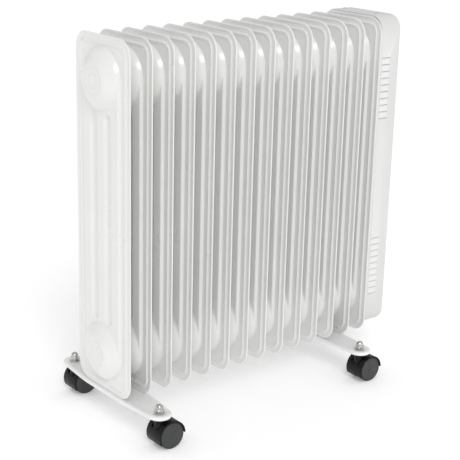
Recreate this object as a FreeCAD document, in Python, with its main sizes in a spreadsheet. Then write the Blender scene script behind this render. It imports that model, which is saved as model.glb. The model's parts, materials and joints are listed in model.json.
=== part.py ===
# Oil filled radiator heater: fourteen hollow steel fins joined through two headers,
# on two cross feet with four twin-wheel casters, with a control box on the last fin.
#
# Frame: +Z up, origin on the floor under the middle of the heater. The row of fins
# runs along X, from the closed end fin (-X) to the control box (+X).
import FreeCAD, Part

import os

import Sketcher
from FreeCAD import Placement, Rotation, Vector

# (alias, value in mm, degrees or a count, what it is)
DIMENSIONS = [
    ("fin_count", 14, "fins in the row"),
    ("fin_pitch", 40, "spacing of the fins' mid planes"),
    ("fin_depth", 150, "fin size along Y"),
    ("fin_height", 580, "fin size along Z"),
    ("fin_corner", 28, "corner radius of a fin"),
    ("fin_base", 60, "height of the fins' underside above the floor"),
    ("row_start", -282, "mid plane of the first fin along X"),
    ("skin", 0.6, "thickness of one pressed sheet"),
    ("hem_width", 4, "width of the folded edge"),
    ("hem_thick", 2.4, "thickness of the folded edge"),
    ("channel_gap", 39, "spacing of the oil channels along Y"),
    ("channel_base", 13, "half width of a channel at the sheet"),
    ("channel_crest", 9, "half width of a channel at its crest"),
    ("channel_rise", 5.5, "height of a channel above the mid plane"),
    ("header_inset", 68, "header axis from the fin's end"),
    ("header_foot", 52, "header dome radius at the sheet"),
    ("header_face", 32, "header dome radius at its flat face"),
    ("header_bore", 18, "hole joining one fin to the next"),
    ("foot_waist", 26, "half width of a foot at its middle"),
    ("foot_shoulder", 50, "where the foot starts to taper, along Y"),
    ("foot_pad", 19, "radius of a foot's end pad"),
    ("foot_plate", 1.5, "sheet thickness of a foot"),
    ("foot_rim", 6, "depth of a foot over its turned rim"),
    ("foot_front", -262, "front foot along X, between fins 1 and 2"),
    ("foot_rear", 178, "rear foot along X, between fins 12 and 13"),
    ("stem_y", 126, "caster stem axis along Y"),
    ("wire_r", 2.5, "radius of a U-bolt's wire"),
    ("u_bolt_r", 36, "centreline radius of a U-bolt"),
    ("u_bolt_end", 46, "height of the U-bolt legs' ends"),
    ("stem_r", 4, "caster stem radius"),
    ("pin_r", 3.5, "radius of the stem's swivel pin"),
    ("fit", 0.05, "running clearance on radius"),
    ("collar_r", 8, "stem collar radius"),
    ("washer_r", 8.75, "radius of the washer under a dome nut"),
    ("nut_flats", 13, "dome nut size across flats"),
    ("nut_hex", 7, "height of a dome nut's hexagon"),
    ("nut_height", 15, "height of a dome nut"),
    ("wheel_r", 22.5, "wheel radius"),
    ("wheel_in", 6, "inner face of a wheel along Y"),
    ("wheel_out", 19, "outer face of a wheel along Y"),
    ("trail", 13, "wheel axle behind the stem, along X"),
    ("hood_r", 25, "outer radius of a caster's hood"),
    ("hood_wall", 1.7, "wall of a caster's hood"),
    ("hood_low", 11, "height of the hood's edge in front of the wheels"),
    ("web_half", 5.5, "half thickness of the caster's middle web"),
    ("boss_r", 8.5, "radius of the hood's stem boss"),
    ("boss_top", 53, "height of the hood's stem boss"),
    ("axle_r", 3, "wheel axle radius"),
    ("box_back", 241, "open rear edge of the control cover along X"),
    ("box_front", 288, "front face of the control cover along X"),
    ("box_depth", 146, "control cover size along Y"),
    ("box_base", 72, "underside of the control cover"),
    ("box_top", 642, "top of the control cover"),
    ("box_corner", 26, "corner radius of the control cover"),
    ("box_edge", 5, "rounding of the cover's front edge"),
    ("box_wall", 2.5, "wall of the control cover"),
    ("slot_start", 245, "rear end of the vent slots along X"),
    ("slot_long", 20, "vent slot length"),
    ("slot_wide", 2.5, "vent slot width"),
    ("slot_gap", 11.9, "vent slot spacing"),
    ("slot_count", 10, "vent slots in a group"),
    ("slot_low", 132, "lowest slot of the lower group"),
    ("slot_high", 461, "lowest slot of the upper group"),
    ("panel_depth", 104, "control panel size along Y"),
    ("panel_tall", 230, "control panel size along Z"),
    ("panel_mid", 440, "middle of the control panel"),
    ("panel_corner", 12, "corner radius of the control panel"),
    ("panel_lip", 4, "width of the lip behind the cover"),
    ("knob_z", 505, "height of the thermostat knob"),
    ("knob_r", 23, "knob radius"),
    ("knob_front", 302, "front of the knob along X"),
    ("shaft_r", 3, "thermostat shaft radius"),
    ("bush_r", 4.5, "thermostat bush radius"),
    ("lamp_z", 452, "height of the pilot lamp"),
    ("lamp_r", 4, "pilot lamp radius"),
    ("switch_z", 400, "height of the two switches"),
    ("rocker_y", 14, "rocker position along Y"),
    ("rocker_half", 6.5, "half width of a rocker"),
    ("rocker_tall", 10.3, "half height of a rocker"),
    ("rocker_tilt", 8, "tilt of a rocker at rest, in degrees"),
    ("pivot_x", 284, "rocker pivot along X"),
    ("pivot_r", 1.25, "rocker pin radius"),
    ("plate_back", 246, "rear face of the back plate along X"),
    ("plate_thick", 1.2, "back plate thickness"),
    ("gasket_thick", 1, "header gasket thickness"),
    ("strap_thick", 1.5, "strap thickness"),
    ("strap_half", 26, "half width of a strap"),
    ("plug_r", 24, "header plug flange radius"),
    ("plug_thick", 4, "header plug flange thickness"),
    ("element_r", 4.25, "heating tube radius"),
    ("element_bend", 9, "bend radius of the heating tube"),
    ("element_end", -190, "where the heating tube turns back, along X"),
    ("screw_y", 40, "cover screws along Y"),
    ("gland_x", 268, "cord gland along X"),
    ("gland_bore", 4.2, "radius of the cord gland's bore"),
    ("gland_r", 9, "cord gland's radius in the cover"),
]

document = FreeCAD.newDocument("OilRadiator")
sizes = document.addObject("Spreadsheet::Sheet", "Sizes")
for line, (alias, value, note) in enumerate(DIMENSIONS, start=1):
    sizes.set(f"A{line}", alias)
    sizes.set(f"B{line}", str(value))
    sizes.set(f"C{line}", note)
    sizes.setAlias(f"B{line}", alias)
document.recompute()

VALUES = {alias: float(value) for alias, value, note in DIMENSIONS}
PARTS = []
HEADERS = {"lower": "(fin_base + header_inset)", "upper": "(fin_base + fin_height - header_inset)"}


def bound(text):
    """Turn a formula in plain aliases into one that reads the spreadsheet."""
    words = []
    for piece in str(text).replace("(", " ( ").replace(")", " ) ").split():
        words.append(f"Sizes.{piece}" if piece in VALUES else piece)
    return " ".join(words)


def worth(text):
    """Value of a formula in plain aliases, used to place geometry before it is bound."""
    result = sizes.evalExpression(bound(text))
    return float(getattr(result, "Value", result))


def keep(thing, label):
    """Name a finished sub-part; its label is also its file name."""
    thing.Label = label
    PARTS.append(thing)
    return thing


# ---- sketch and feature helpers -------------------------------------------------

def new_body(name):
    return document.addObject("PartDesign::Body", name)


def new_sketch(body, name, plane, lift=None):
    """Sketch on one of the body's own planes, lifted along its normal or raised in Z."""
    sketch = body.newObject("Sketcher::SketchObject", name)
    origin_plane = next(f for f in body.Origin.OriginFeatures if f.Role == plane)
    sketch.AttachmentSupport = [(origin_plane, "")]
    sketch.MapMode = "FlatFace"
    for axis, text in (lift or {}).items():
        sketch.setExpression(f"AttachmentOffset.Base.{axis}", bound(text))
    return sketch


def hold(sketch, kind, geometry, point, text):
    """Hold one coordinate of a sketch point to a formula."""
    index = sketch.addConstraint(Sketcher.Constraint(kind, -1, 1, geometry, point, worth(text)))
    sketch.setExpression(f"Constraints[{index}]", bound(text))


def draw_polygon(sketch, corners):
    """Closed outline through corners given as pairs of formulas."""
    first = sketch.GeometryCount
    points = [Vector(worth(x), worth(y), 0) for x, y in corners]
    count = len(points)
    for n in range(count):
        sketch.addGeometry(Part.LineSegment(points[n], points[(n + 1) % count]), False)
    for n in range(count):
        following = first + (n + 1) % count
        sketch.addConstraint(Sketcher.Constraint("Coincident", first + n, 2, following, 1))
    for n, (x, y) in enumerate(corners):
        hold(sketch, "DistanceX", first + n, 1, x)
        hold(sketch, "DistanceY", first + n, 1, y)


def draw_rectangle(sketch, left, right, low, high):
    draw_polygon(sketch, [(left, low), (right, low), (right, high), (left, high)])


def draw_circle(sketch, x, y, radius):
    centre = Vector(worth(x), worth(y), 0)
    circle = sketch.addGeometry(Part.Circle(centre, Vector(0, 0, 1), worth(radius)), False)
    index = sketch.addConstraint(Sketcher.Constraint("Radius", circle, worth(radius)))
    sketch.setExpression(f"Constraints[{index}]", bound(radius))
    hold(sketch, "DistanceX", circle, 3, x)
    hold(sketch, "DistanceY", circle, 3, y)


def pad(body, sketch, name, length, both=False, back=False):
    feature = body.newObject("PartDesign::Pad", name)
    feature.Profile = sketch
    feature.setExpression("Length", bound(length))
    feature.Midplane = both
    feature.Reversed = back
    document.recompute()
    return feature


def cut(body, sketch, name, length=None, both=False, back=False):
    """Pocket that must remove something; with no length it goes right through."""
    before = body.Tip.Shape.Volume
    feature = body.newObject("PartDesign::Pocket", name)
    feature.Profile = sketch
    if length is None:
        feature.Type = "ThroughAll"
    else:
        feature.setExpression("Length", bound(length))
    feature.Midplane = both
    feature.Reversed = back
    document.recompute()
    check_cut(feature, before)
    return feature


def check_cut(feature, before):
    if feature.Shape.isNull() or feature.Shape.Volume > before - 0.01:
        raise RuntimeError(f"{feature.Label} removed nothing")


def turn(body, kind, sketch, name, axis):
    """Revolve a sketch about one of its own axes, to add or to remove."""
    before = body.Tip.Shape.Volume if body.Tip else 0.0
    feature = body.newObject(f"PartDesign::{kind}", name)
    feature.Profile = sketch
    feature.ReferenceAxis = (sketch, [axis])
    feature.Angle = 360
    document.recompute()
    if kind == "Groove":
        check_cut(feature, before)
    return feature


def round_edges(body, name, radius, wanted):
    """Fillet the edges of the body's tip for which wanted(edge) is true."""
    tip = body.Tip
    names = [f"Edge{n}" for n, edge in enumerate(tip.Shape.Edges, start=1) if wanted(edge)]
    feature = body.newObject("PartDesign::Fillet", name)
    feature.Base = (tip, names)
    feature.setExpression("Radius", bound(radius))
    document.recompute()
    return feature


def along(axis):
    """Test for straight edges that run along one direction."""
    def wanted(edge):
        if len(edge.Vertexes) != 2 or not isinstance(edge.Curve, Part.Line):
            return False
        return abs(abs(edge.Curve.Direction.dot(axis)) - 1) < 1e-6
    return wanted


def place(thing, x=None, y=None, z=None):
    for axis, text in (("x", x), ("y", y), ("z", z)):
        if text is not None:
            thing.setExpression(f"Placement.Base.{axis}", bound(text))


def primitive(kind, name, values, x="0", y="0", z="0", rotation=None):
    """Part primitive with its sizes and its place bound to formulas."""
    thing = document.addObject(f"Part::{kind}", name)
    if rotation is not None:
        thing.Placement = Placement(Vector(), rotation)
    for prop, text in values.items():
        thing.setExpression(prop, bound(text))
    place(thing, x, y, z)
    return thing


def rod(name, radius, length, x="0", y="0", z="0", rotation=None):
    return primitive("Cylinder", name, {"Radius": radius, "Height": length}, x, y, z, rotation)


def block(name, size, x, y, z):
    values = dict(zip(("Length", "Width", "Height"), size))
    return primitive("Box", name, values, x, y, z)


def join(name, things):
    fusion = document.addObject("Part::MultiFuse", name)
    fusion.Shapes = things
    return fusion


def minus(name, base, tool):
    difference = document.addObject("Part::Cut", name)
    difference.Base = base
    difference.Tool = tool
    return difference


def group(name, things):
    """Identical loose pieces that share one sub-part."""
    compound = document.addObject("Part::Compound", name)
    compound.Links = things
    return compound


def copy_of(master, name, x=None, y=None, z=None, rotation=None):
    """Another one of a piece that is already in the document."""
    link = document.addObject("App::Link", name)
    link.LinkedObject = master
    if rotation is not None:
        link.Placement = Placement(Vector(), rotation)
    place(link, x, y, z)
    return link


TO_X = Rotation(Vector(0, 1, 0), 90)
TO_Y = Rotation(Vector(1, 0, 0), -90)
X_AXIS = Vector(1, 0, 0)
Y_AXIS = Vector(0, 1, 0)
Z_AXIS = Vector(0, 0, 1)


# ---- fins ------------------------------------------------------------------------

def channel_outline(sketch, row, inner):
    """Section of one oil channel: crests on both sides, widest at the mid plane."""
    base = "channel_base - skin * 1.6" if inner else "channel_base"
    crest = "channel_crest - skin * 0.4" if inner else "channel_crest"
    rise = "channel_rise - skin" if inner else "channel_rise"
    middle = f"channel_gap * {row}"
    draw_polygon(sketch, [
        ("0", f"{middle} - ( {base} )"),
        (rise, f"{middle} - ( {crest} )"),
        (rise, f"{middle} + {crest}"),
        ("0", f"{middle} + {base}"),
        (f"0 - ( {rise} )", f"{middle} + {crest}"),
        (f"0 - ( {rise} )", f"{middle} - ( {crest} )"),
    ])


def header_outline(sketch, inner):
    """Half section of a header: two domes that reach half way to the next fin."""
    foot = "header_foot - skin * 1.414" if inner else "header_foot"
    face = "header_face - skin * 0.414" if inner else "header_face"
    reach = "fin_pitch / 2 - skin" if inner else "fin_pitch / 2"
    draw_polygon(sketch, [
        (f"0 - ( {reach} )", "0"), (reach, "0"), (reach, face), ("0", foot), (f"0 - ( {reach} )", face),
    ])


def fin_outline(sketch, inset):
    low, high = f"fin_base + {inset}", f"fin_base + fin_height - {inset}"
    side = f"fin_depth / 2 - {inset}"
    draw_rectangle(sketch, f"0 - ( {side} )", side, low, high)


def fin_blank(name, inset, thickness):
    """Rounded plate on the fin's mid plane."""
    body = new_body(name)
    outline = new_sketch(body, f"{name}_outline", "YZ_Plane")
    fin_outline(outline, inset)
    pad(body, outline, f"{name}_pad", thickness, both=True)
    round_edges(body, f"{name}_corners", f"fin_corner - {inset}", along(X_AXIS))
    return body


def fin_pressing(name, open_sides):
    """One welded fin: sheet pair, oil channels and header domes, hollow inside."""
    body = fin_blank(name, "0", "skin * 2")
    rows = (-1, 0, 1)
    for row in rows:
        section = new_sketch(body, f"{name}_channel{row + 2}", "XY_Plane", {"z": HEADERS["lower"]})
        channel_outline(section, row, inner=False)
        pad(body, section, f"{name}_channel_pad{row + 2}", "fin_height - 2 * header_inset")
    for which, height in HEADERS.items():
        half = new_sketch(body, f"{name}_{which}_dome", "XZ_Plane", {"y": height})
        header_outline(half, inner=False)
        turn(body, "Revolution", half, f"{name}_{which}_turn", "H_Axis")
    for row in rows:
        section = new_sketch(body, f"{name}_bore{row + 2}", "XY_Plane", {"z": HEADERS["lower"]})
        channel_outline(section, row, inner=True)
        cut(body, section, f"{name}_channel_cut{row + 2}", "fin_height - 2 * header_inset", back=True)
    for which, height in HEADERS.items():
        half = new_sketch(body, f"{name}_{which}_hollow", "XZ_Plane", {"y": height})
        header_outline(half, inner=True)
        turn(body, "Groove", half, f"{name}_{which}_groove", "H_Axis")
    holes = new_sketch(body, f"{name}_holes", "YZ_Plane")
    for height in HEADERS.values():
        draw_circle(holes, "0", height, "header_bore")
    if open_sides == "both":
        cut(body, holes, f"{name}_through", both=True)
    else:
        cut(body, holes, f"{name}_through", "fin_pitch", back=True)
    return body


def folded_edge(name):
    """Hem around a fin: the rim of both sheets, folded back on itself."""
    outer = fin_blank(f"{name}_outer", "0", "hem_thick")
    inner = fin_blank(f"{name}_inner", "hem_width", "hem_thick * 2")
    return minus(name, outer, inner)


def make_fins():
    hem = folded_edge("hem")
    closed = join("end_fin", [fin_pressing("end_sheet", "one"), hem])
    place(closed, x="row_start")
    keep(closed, "fin_01")
    middle = join("middle_fin", [fin_pressing("middle_sheet", "both"), copy_of(hem, "hem_copy")])
    place(middle, x="row_start + fin_pitch")
    keep(middle, "fin_02")
    for number in range(3, int(VALUES["fin_count"]) + 1):
        step = f"row_start + fin_pitch * {number - 1}"
        keep(copy_of(middle, f"fin_{number:02d}_link", x=step), f"fin_{number:02d}")


# ---- feet, U-bolts and their nuts -------------------------------------------------

def foot_pressing(name, inset, low, high):
    """Foot outline: a broad middle that tapers to a round pad at each end."""
    body = new_body(name)
    outline = new_sketch(body, f"{name}_outline", "XY_Plane", {"z": low})
    waist, shoulder = f"foot_waist - {inset}", "foot_shoulder"
    pad_side, pad_y = f"foot_pad - {inset}", "stem_y"
    draw_polygon(outline, [
        (waist, f"0 - {shoulder}"), (waist, shoulder), (pad_side, pad_y), (f"0 - ( {pad_side} )", pad_y),
        (f"0 - ( {waist} )", shoulder), (f"0 - ( {waist} )", f"0 - {shoulder}"),
        (f"0 - ( {pad_side} )", f"0 - {pad_y}"), (pad_side, f"0 - {pad_y}"),
    ])
    pad(body, outline, f"{name}_bar", f"{high} - ( {low} )")
    for side in (1, -1):
        end = new_sketch(body, f"{name}_end{side + 1}", "XY_Plane", {"z": low})
        draw_circle(end, "0", f"stem_y * {side}", f"foot_pad - {inset}")
        pad(body, end, f"{name}_pad{side + 1}", f"{high} - ( {low} )")
    return body


def make_foot(label, position):
    """Cross foot, pressed as a shallow tray with its rim turned down."""
    shell = foot_pressing(f"{label}_shell", "0", "fin_base - foot_rim", "fin_base")
    hollow = foot_pressing(f"{label}_hollow", "foot_plate", "fin_base - foot_rim - 1",
                           "fin_base - foot_plate")
    tray = minus(f"{label}_tray", shell, hollow)
    drills = []
    for side in (1, -1):
        drills.append(rod(f"{label}_stem_hole{side + 1}", "stem_r", "foot_rim * 2",
                          y=f"stem_y * {side}", z="fin_base - foot_rim"))
        drills.append(rod(f"{label}_leg_hole{side + 1}", "wire_r", "foot_rim * 2",
                          y=f"u_bolt_r * {side}", z="fin_base - foot_rim"))
    bar = minus(f"{label}_bar", tray, join(f"{label}_drills", drills))
    place(bar, x=position)
    keep(bar, label)


def make_u_bolt(label, position):
    """Round wire bent over the lower header, with two straight legs through the foot."""
    height = HEADERS["lower"]
    arch = primitive("Torus", f"{label}_arch", {"Radius1": "u_bolt_r", "Radius2": "wire_r"},
                     z=height, rotation=Rotation(Y_AXIS, Z_AXIS, X_AXIS, "ZXY"))
    arch.Angle3 = 180
    legs = [rod(f"{label}_leg{side + 1}", "wire_r", f"{height} - u_bolt_end",
                y=f"u_bolt_r * {side}", z="u_bolt_end") for side in (1, -1)]
    bolt = join(f"{label}_wire", [arch] + legs)
    place(bolt, x=position)
    keep(bolt, label)


def make_wing_nuts():
    """Four wing nuts under the feet, on the ends of the U-bolts."""
    hub = rod("wing_hub", "wire_r + 2.5", "5", z="fin_base - foot_plate - 5")
    wings = []
    for side in (1, -1):
        wings.append(block(f"wing_{side + 1}", ("7", "1.8", "8"),
                           f"{-7 if side < 0 else 0} + {4 * side}", "0 - 0.9",
                           "fin_base - foot_plate - 10"))
    bore = rod("wing_bore", "wire_r", "20", z="fin_base - foot_plate - 15")
    nut = minus("wing_nut", join("wing_nut_solid", [hub] + wings), bore)
    nuts = []
    for position in ("foot_front", "foot_rear"):
        for side in (1, -1):
            nuts.append(copy_of(nut, f"wing_nut_{position}_{side + 1}", x=position,
                                y=f"u_bolt_r * {side}"))
    keep(group("wing_nut_set", nuts), "wing_nuts")


CORNERS = [("foot_front", -1, "front_left"), ("foot_front", 1, "front_right"),
           ("foot_rear", -1, "rear_left"), ("foot_rear", 1, "rear_right")]


def at_each_stem(master, name):
    """The same piece at all four caster stems."""
    return group(name, [copy_of(master, f"{name}_{corner}", x=position, y=f"stem_y * {side}")
                        for position, side, corner in CORNERS])


def make_stem_hardware():
    """Stems, washers and dome nuts that hold the four casters to the feet."""
    under = "fin_base - foot_plate"
    stem = join("stem", [
        rod("stem_thread", "stem_r", "foot_plate + 13", z=under),
        rod("stem_collar", "collar_r", "3", z=f"{under} - 3"),
        rod("stem_pin", "pin_r", "22", z=f"{under} - 24"),
    ])
    keep(at_each_stem(stem, "stems"), "caster_stems")
    ring = minus("washer", rod("washer_disc", "washer_r", "1.5", z="fin_base"),
                 rod("washer_hole", "stem_r", "3", z="fin_base - 1"))
    keep(at_each_stem(ring, "washers"), "nut_washers")
    base = "fin_base + 1.5"
    hexagon = primitive("Prism", "nut_hexagon",
                        {"Circumradius": "nut_flats / 1.7320508", "Height": "nut_hex"}, z=base)
    hexagon.Polygon = 6
    top = rod("nut_neck", "nut_flats / 2 - 0.6", "nut_height - nut_flats / 2 + 0.6", z=base)
    dome = primitive("Sphere", "nut_dome", {"Radius": "nut_flats / 2 - 0.6"},
                     z=f"{base} + nut_height - nut_flats / 2 + 0.6")
    bore = rod("nut_bore", "stem_r", "11.5", z=base)
    nut = minus("dome_nut", join("nut_solid", [hexagon, top, dome]), bore)
    keep(at_each_stem(nut, "nuts"), "dome_nuts")


# ---- casters -----------------------------------------------------------------------

def caster_hood():
    """Hood about its stem: middle web, stem boss and a fender that reaches lower in front."""
    body = new_body("hood_body")
    height = "wheel_r"
    fender = new_sketch(body, "fender_round", "XZ_Plane")
    draw_circle(fender, "trail", height, "hood_r")
    pad(body, fender, "fender_pad", "wheel_out * 2", both=True)
    boss = rod("stem_boss", "boss_r", "boss_top - wheel_r - 18", z="wheel_r + 18")
    wheel_room = [rod(f"wheel_room{side + 1}", "hood_r - hood_wall", "wheel_out - web_half + 1",
                      x="trail", z=height, rotation=TO_Y,
                      y="web_half" if side > 0 else "0 - wheel_out - 1") for side in (1, -1)]
    below = [block(f"below_{end}", ("hood_r + 1", "wheel_out * 2 + 2", f"{top} + 6"), start,
                   "0 - wheel_out - 1", "0 - 6")
             for end, top, start in (("front", "hood_low", "trail - hood_r - 1"),
                                     ("rear", "wheel_r", "trail"))]
    fender_shell = minus("fender_shell", join("fender_solid", [body, boss]),
                         join("fender_space", wheel_room + below))
    web = rod("web_disc", "hood_r - 6", "web_half * 2", x="trail", y="0 - web_half", z=height,
              rotation=TO_Y)
    solid = join("hood_solid", [fender_shell, web])
    socket = rod("hood_socket", "pin_r + fit", "30", z="fin_base - foot_plate - 24.3")
    axle_hole = rod("axle_hole", "axle_r", "web_half * 4", x="trail", y="0 - web_half * 2",
                    z=height, rotation=TO_Y)
    return minus("hood", solid, join("hood_holes", [socket, axle_hole]))


def caster_wheel():
    """One wheel of a pair, with a dished face and a lightened back."""
    body = new_body("wheel_body")
    half = new_sketch(body, "wheel_half", "XY_Plane")
    rim, hole = "wheel_r", "axle_r + fit"
    draw_polygon(half, [
        (hole, "wheel_in"), ("axle_r + 3", "wheel_in"), ("axle_r + 3", "wheel_in + 5"),
        (f"{rim} - 4", "wheel_in + 5"), (f"{rim} - 4", "wheel_in"), (f"{rim} - 1", "wheel_in"),
        (rim, "wheel_in + 1"), (rim, "wheel_out - 2"), (f"{rim} - 2", "wheel_out"),
        (hole, "wheel_out"),
    ])
    turn(body, "Revolution", half, "wheel_turn", "V_Axis")
    return body


def make_casters():
    hood = caster_hood()
    wheel = caster_wheel()
    axle = rod("axle", "axle_r", "wheel_out * 2 - 2", y="1 - wheel_out", z="0", rotation=TO_Y)
    for position, side, corner in CORNERS:
        stem_y = f"stem_y * {side}"
        keep(copy_of(hood, f"hood_{corner}", x=position, y=stem_y), f"{corner}_caster_hood")
        keep(copy_of(axle, f"axle_{corner}", x=f"{position} + trail", y=f"{stem_y} + 1 - wheel_out",
                     z="wheel_r", rotation=TO_Y), f"{corner}_axle")
        keep(copy_of(wheel, f"outer_{corner}", x=f"{position} + trail", y=stem_y, z="wheel_r",
                     rotation=Rotation(Z_AXIS, 90 - 90 * side)), f"{corner}_outer_wheel")
        keep(copy_of(wheel, f"inner_{corner}", x=f"{position} + trail", y=stem_y, z="wheel_r",
                     rotation=Rotation(Z_AXIS, 90 + 90 * side)), f"{corner}_inner_wheel")


# ---- control box -------------------------------------------------------------------

def upright_plate(name, depth, low, high, corner, start, thickness):
    """Rounded plate across the heater, from start along +X."""
    body = new_body(name)
    outline = new_sketch(body, f"{name}_outline", "YZ_Plane", {"z": start})
    half = f"( {depth} ) / 2"
    draw_rectangle(outline, f"0 - {half}", half, low, high)
    pad(body, outline, f"{name}_pad", thickness)
    round_edges(body, f"{name}_corners", corner, along(X_AXIS))
    return body


def make_cover():
    """Moulded cover, open at the back, with vent slots down both long sides."""
    body = upright_plate("cover", "box_depth", "box_base", "box_top", "box_corner", "box_back",
                         "box_front - box_back")
    front = VALUES["box_front"]
    round_edges(body, "cover_front_edge", "box_edge",
                lambda edge: all(abs(v.Point.x - front) < 1e-4 for v in edge.Vertexes))
    slots = new_sketch(body, "cover_slots", "XZ_Plane")
    for start in ("slot_low", "slot_high"):
        for number in range(int(VALUES["slot_count"])):
            low = f"{start} + slot_gap * {number}"
            draw_rectangle(slots, "slot_start", "slot_start + slot_long", low, f"{low} + slot_wide")
    cut(body, slots, "cover_slot_cut", both=True)
    hollow = upright_plate("cover_hollow", "box_depth - box_wall * 2", "box_base + box_wall",
                           "box_top - box_wall", "box_corner - box_wall", "box_back - 1",
                           "box_front - box_back - box_wall + 1")
    window = upright_plate("cover_window", "panel_depth", "panel_mid - panel_tall / 2",
                           "panel_mid + panel_tall / 2", "panel_corner", "box_front - 10", "20")
    gland_hole = rod("cover_gland_hole", "gland_r", "20", x="gland_x", z="box_base - 5")
    screws = [rod(f"cover_screw_hole{n}", "1.8", "box_top - box_base + 20", x="gland_x - 9",
                  y=f"{side} * screw_y", z="box_base - 10") for n, side in enumerate((-1, 1))]
    spaces = join("cover_spaces", [hollow, window, gland_hole] + screws)
    keep(minus("cover_shell", body, spaces), "control_cover")


def make_panel():
    """Control panel, flush in the cover's window, with a lip behind the wall."""
    face = upright_plate("panel_face", "panel_depth", "panel_mid - panel_tall / 2",
                         "panel_mid + panel_tall / 2", "panel_corner", "box_front - box_wall - 1",
                         "box_wall + 1")
    lip = upright_plate("panel_lip_plate", "panel_depth + panel_lip * 2",
                        "panel_mid - panel_tall / 2 - panel_lip",
                        "panel_mid + panel_tall / 2 + panel_lip", "panel_corner + panel_lip",
                        "box_front - box_wall - 1.5", "1.5")
    tools = [
        rod("panel_bush_hole", "bush_r", "20", x="box_front - 10", z="knob_z", rotation=TO_X),
        rod("panel_lamp_hole", "lamp_r - 0.5", "20", x="box_front - 10", z="lamp_z", rotation=TO_X),
        block("panel_switch_hole", ("20", "48", "28"), "box_front - 10", "0 - 24", "switch_z - 14"),
    ]
    keep(minus("panel", join("panel_solid", [face, lip]), join("panel_holes", tools)), "control_panel")


def make_thermostat():
    """Thermostat behind the panel; its shaft turns in the bush and carries the knob."""
    rear = "box_front - box_wall - 1.5"
    case = block("thermostat_case", ("20", "32", "32"), f"{rear} - 20", "0 - 16", "knob_z - 16")
    bush = rod("thermostat_bush", "bush_r", "box_wall + 2.5", x=rear, z="knob_z", rotation=TO_X)
    bore = rod("thermostat_bore", "shaft_r + fit", "40", x="box_front - 18", z="knob_z",
               rotation=TO_X)
    keep(minus("thermostat", join("thermostat_solid", [case, bush]), bore), "thermostat_body")
    keep(rod("shaft", "shaft_r", "knob_front - box_front + 14", x="box_front - 17", z="knob_z",
             rotation=TO_X), "thermostat_shaft")
    body = new_body("knob")
    half = new_sketch(body, "knob_half", "XZ_Plane", {"y": "knob_z"})
    back, front = "box_front + 0.8", "knob_front"
    draw_polygon(half, [
        (back, "bush_r + 1.5"), (back, "knob_r"), ("box_front + 4", "knob_r"),
        ("box_front + 6", "knob_r - 3"), (f"{front} - 1", "knob_r - 4"), (front, "knob_r - 5"),
        (front, "0"), (f"{front} - 3", "0"), (f"{front} - 3", "shaft_r"),
        ("box_front + 2", "shaft_r"), ("box_front + 2", "bush_r + 1.5"),
    ])
    turn(body, "Revolution", half, "knob_turn", "H_Axis")
    keep(body, "thermostat_knob")


def make_switches():
    """Two rocker switches in one frame, pivoting on a shared steel pin."""
    body = block("switch_case", ("24", "48", "28"), "box_front - 24", "0 - 24", "switch_z - 14")
    bezel = block("switch_bezel", ("1.5", "54", "34"), "box_front", "0 - 27", "switch_z - 17")
    wells = [block(f"switch_well{side + 1}", ("30", "rocker_half * 2 + 0.6", "rocker_tall * 2 + 2"),
                   "box_front - 16", f"rocker_y * {side} - rocker_half - 0.3",
                   "switch_z - rocker_tall - 1") for side in (1, -1)]
    pin_hole = rod("switch_pin_hole", "pivot_r", "60", x="pivot_x", y="0 - 30", z="switch_z",
                   rotation=TO_Y)
    frame = minus("switch_frame_cut", join("switch_solid", [body, bezel]),
                  join("switch_space", wells + [pin_hole]))
    keep(frame, "switch_frame")
    keep(rod("pivot_pin", "pivot_r", "46", x="pivot_x", y="0 - 23", z="switch_z", rotation=TO_Y),
         "switch_pin")
    rocker = new_body("rocker")
    side_view = new_sketch(rocker, "rocker_side", "XZ_Plane")
    draw_polygon(side_view, [
        ("5", "rocker_tall"), ("1", "rocker_tall"), ("0 - 4", "4"), ("0 - 4", "0 - 4"),
        ("1", "0 - rocker_tall"), ("5", "0 - rocker_tall"), ("3.4", "0"),
    ])
    pad(rocker, side_view, "rocker_pad", "rocker_half * 2", both=True)
    hole = new_sketch(rocker, "rocker_hole", "XZ_Plane")
    draw_circle(hole, "0", "0", "pivot_r + fit")
    cut(rocker, hole, "rocker_bore", both=True)
    for side, label in ((-1, "left_rocker"), (1, "right_rocker")):
        link = copy_of(rocker, f"{label}_link", rotation=Rotation(Y_AXIS, VALUES["rocker_tilt"]))
        link.setExpression("Placement.Rotation.Angle", bound("rocker_tilt"))
        place(link, "pivot_x", f"rocker_y * {side}", "switch_z")
        keep(link, label)


def make_lamp():
    stem = rod("lamp_stem", "lamp_r - 0.5", "12", x="box_front - 12", z="lamp_z", rotation=TO_X)
    head = primitive("Cone", "lamp_head",
                     {"Radius1": "lamp_r", "Radius2": "lamp_r - 1.2", "Height": "2.5"},
                     x="box_front", z="lamp_z", rotation=TO_X)
    keep(join("lamp", [stem, head]), "pilot_lens")


def make_back_plate():
    """Steel plate behind the electrics, with openings for the last fin's domes."""
    plate = upright_plate("back_sheet", "box_depth - box_wall * 2 - 3",
                          "box_base + box_wall + 1.5", "box_top - box_wall - 1.5",
                          "box_corner - 4", "plate_back", "plate_thick")
    tabs = []
    for n, (side, low) in enumerate([(-1, "box_base + box_wall"), (1, "box_base + box_wall"),
                                     (-1, "box_top - box_wall - 2"), (1, "box_top - box_wall - 2")]):
        tabs.append(block(f"plate_tab{n}", ("gland_x - plate_back - 4", "12", "2"), "plate_back",
                          f"{side} * screw_y - 6", low))
    openings = [rod(f"plate_opening_{which}", "header_foot - 6.5", "20", x="plate_back - 10",
                    z=height, rotation=TO_X) for which, height in HEADERS.items()]
    for n, side in enumerate((-1, 1)):
        openings.append(rod(f"plate_screw_hole{n}", "1.8", "box_top", x="gland_x - 9",
                            y=f"{side} * screw_y", z="0"))
    keep(minus("back_plate_cut", join("plate_solid", [plate] + tabs),
               join("plate_openings", openings)), "back_plate")


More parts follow.
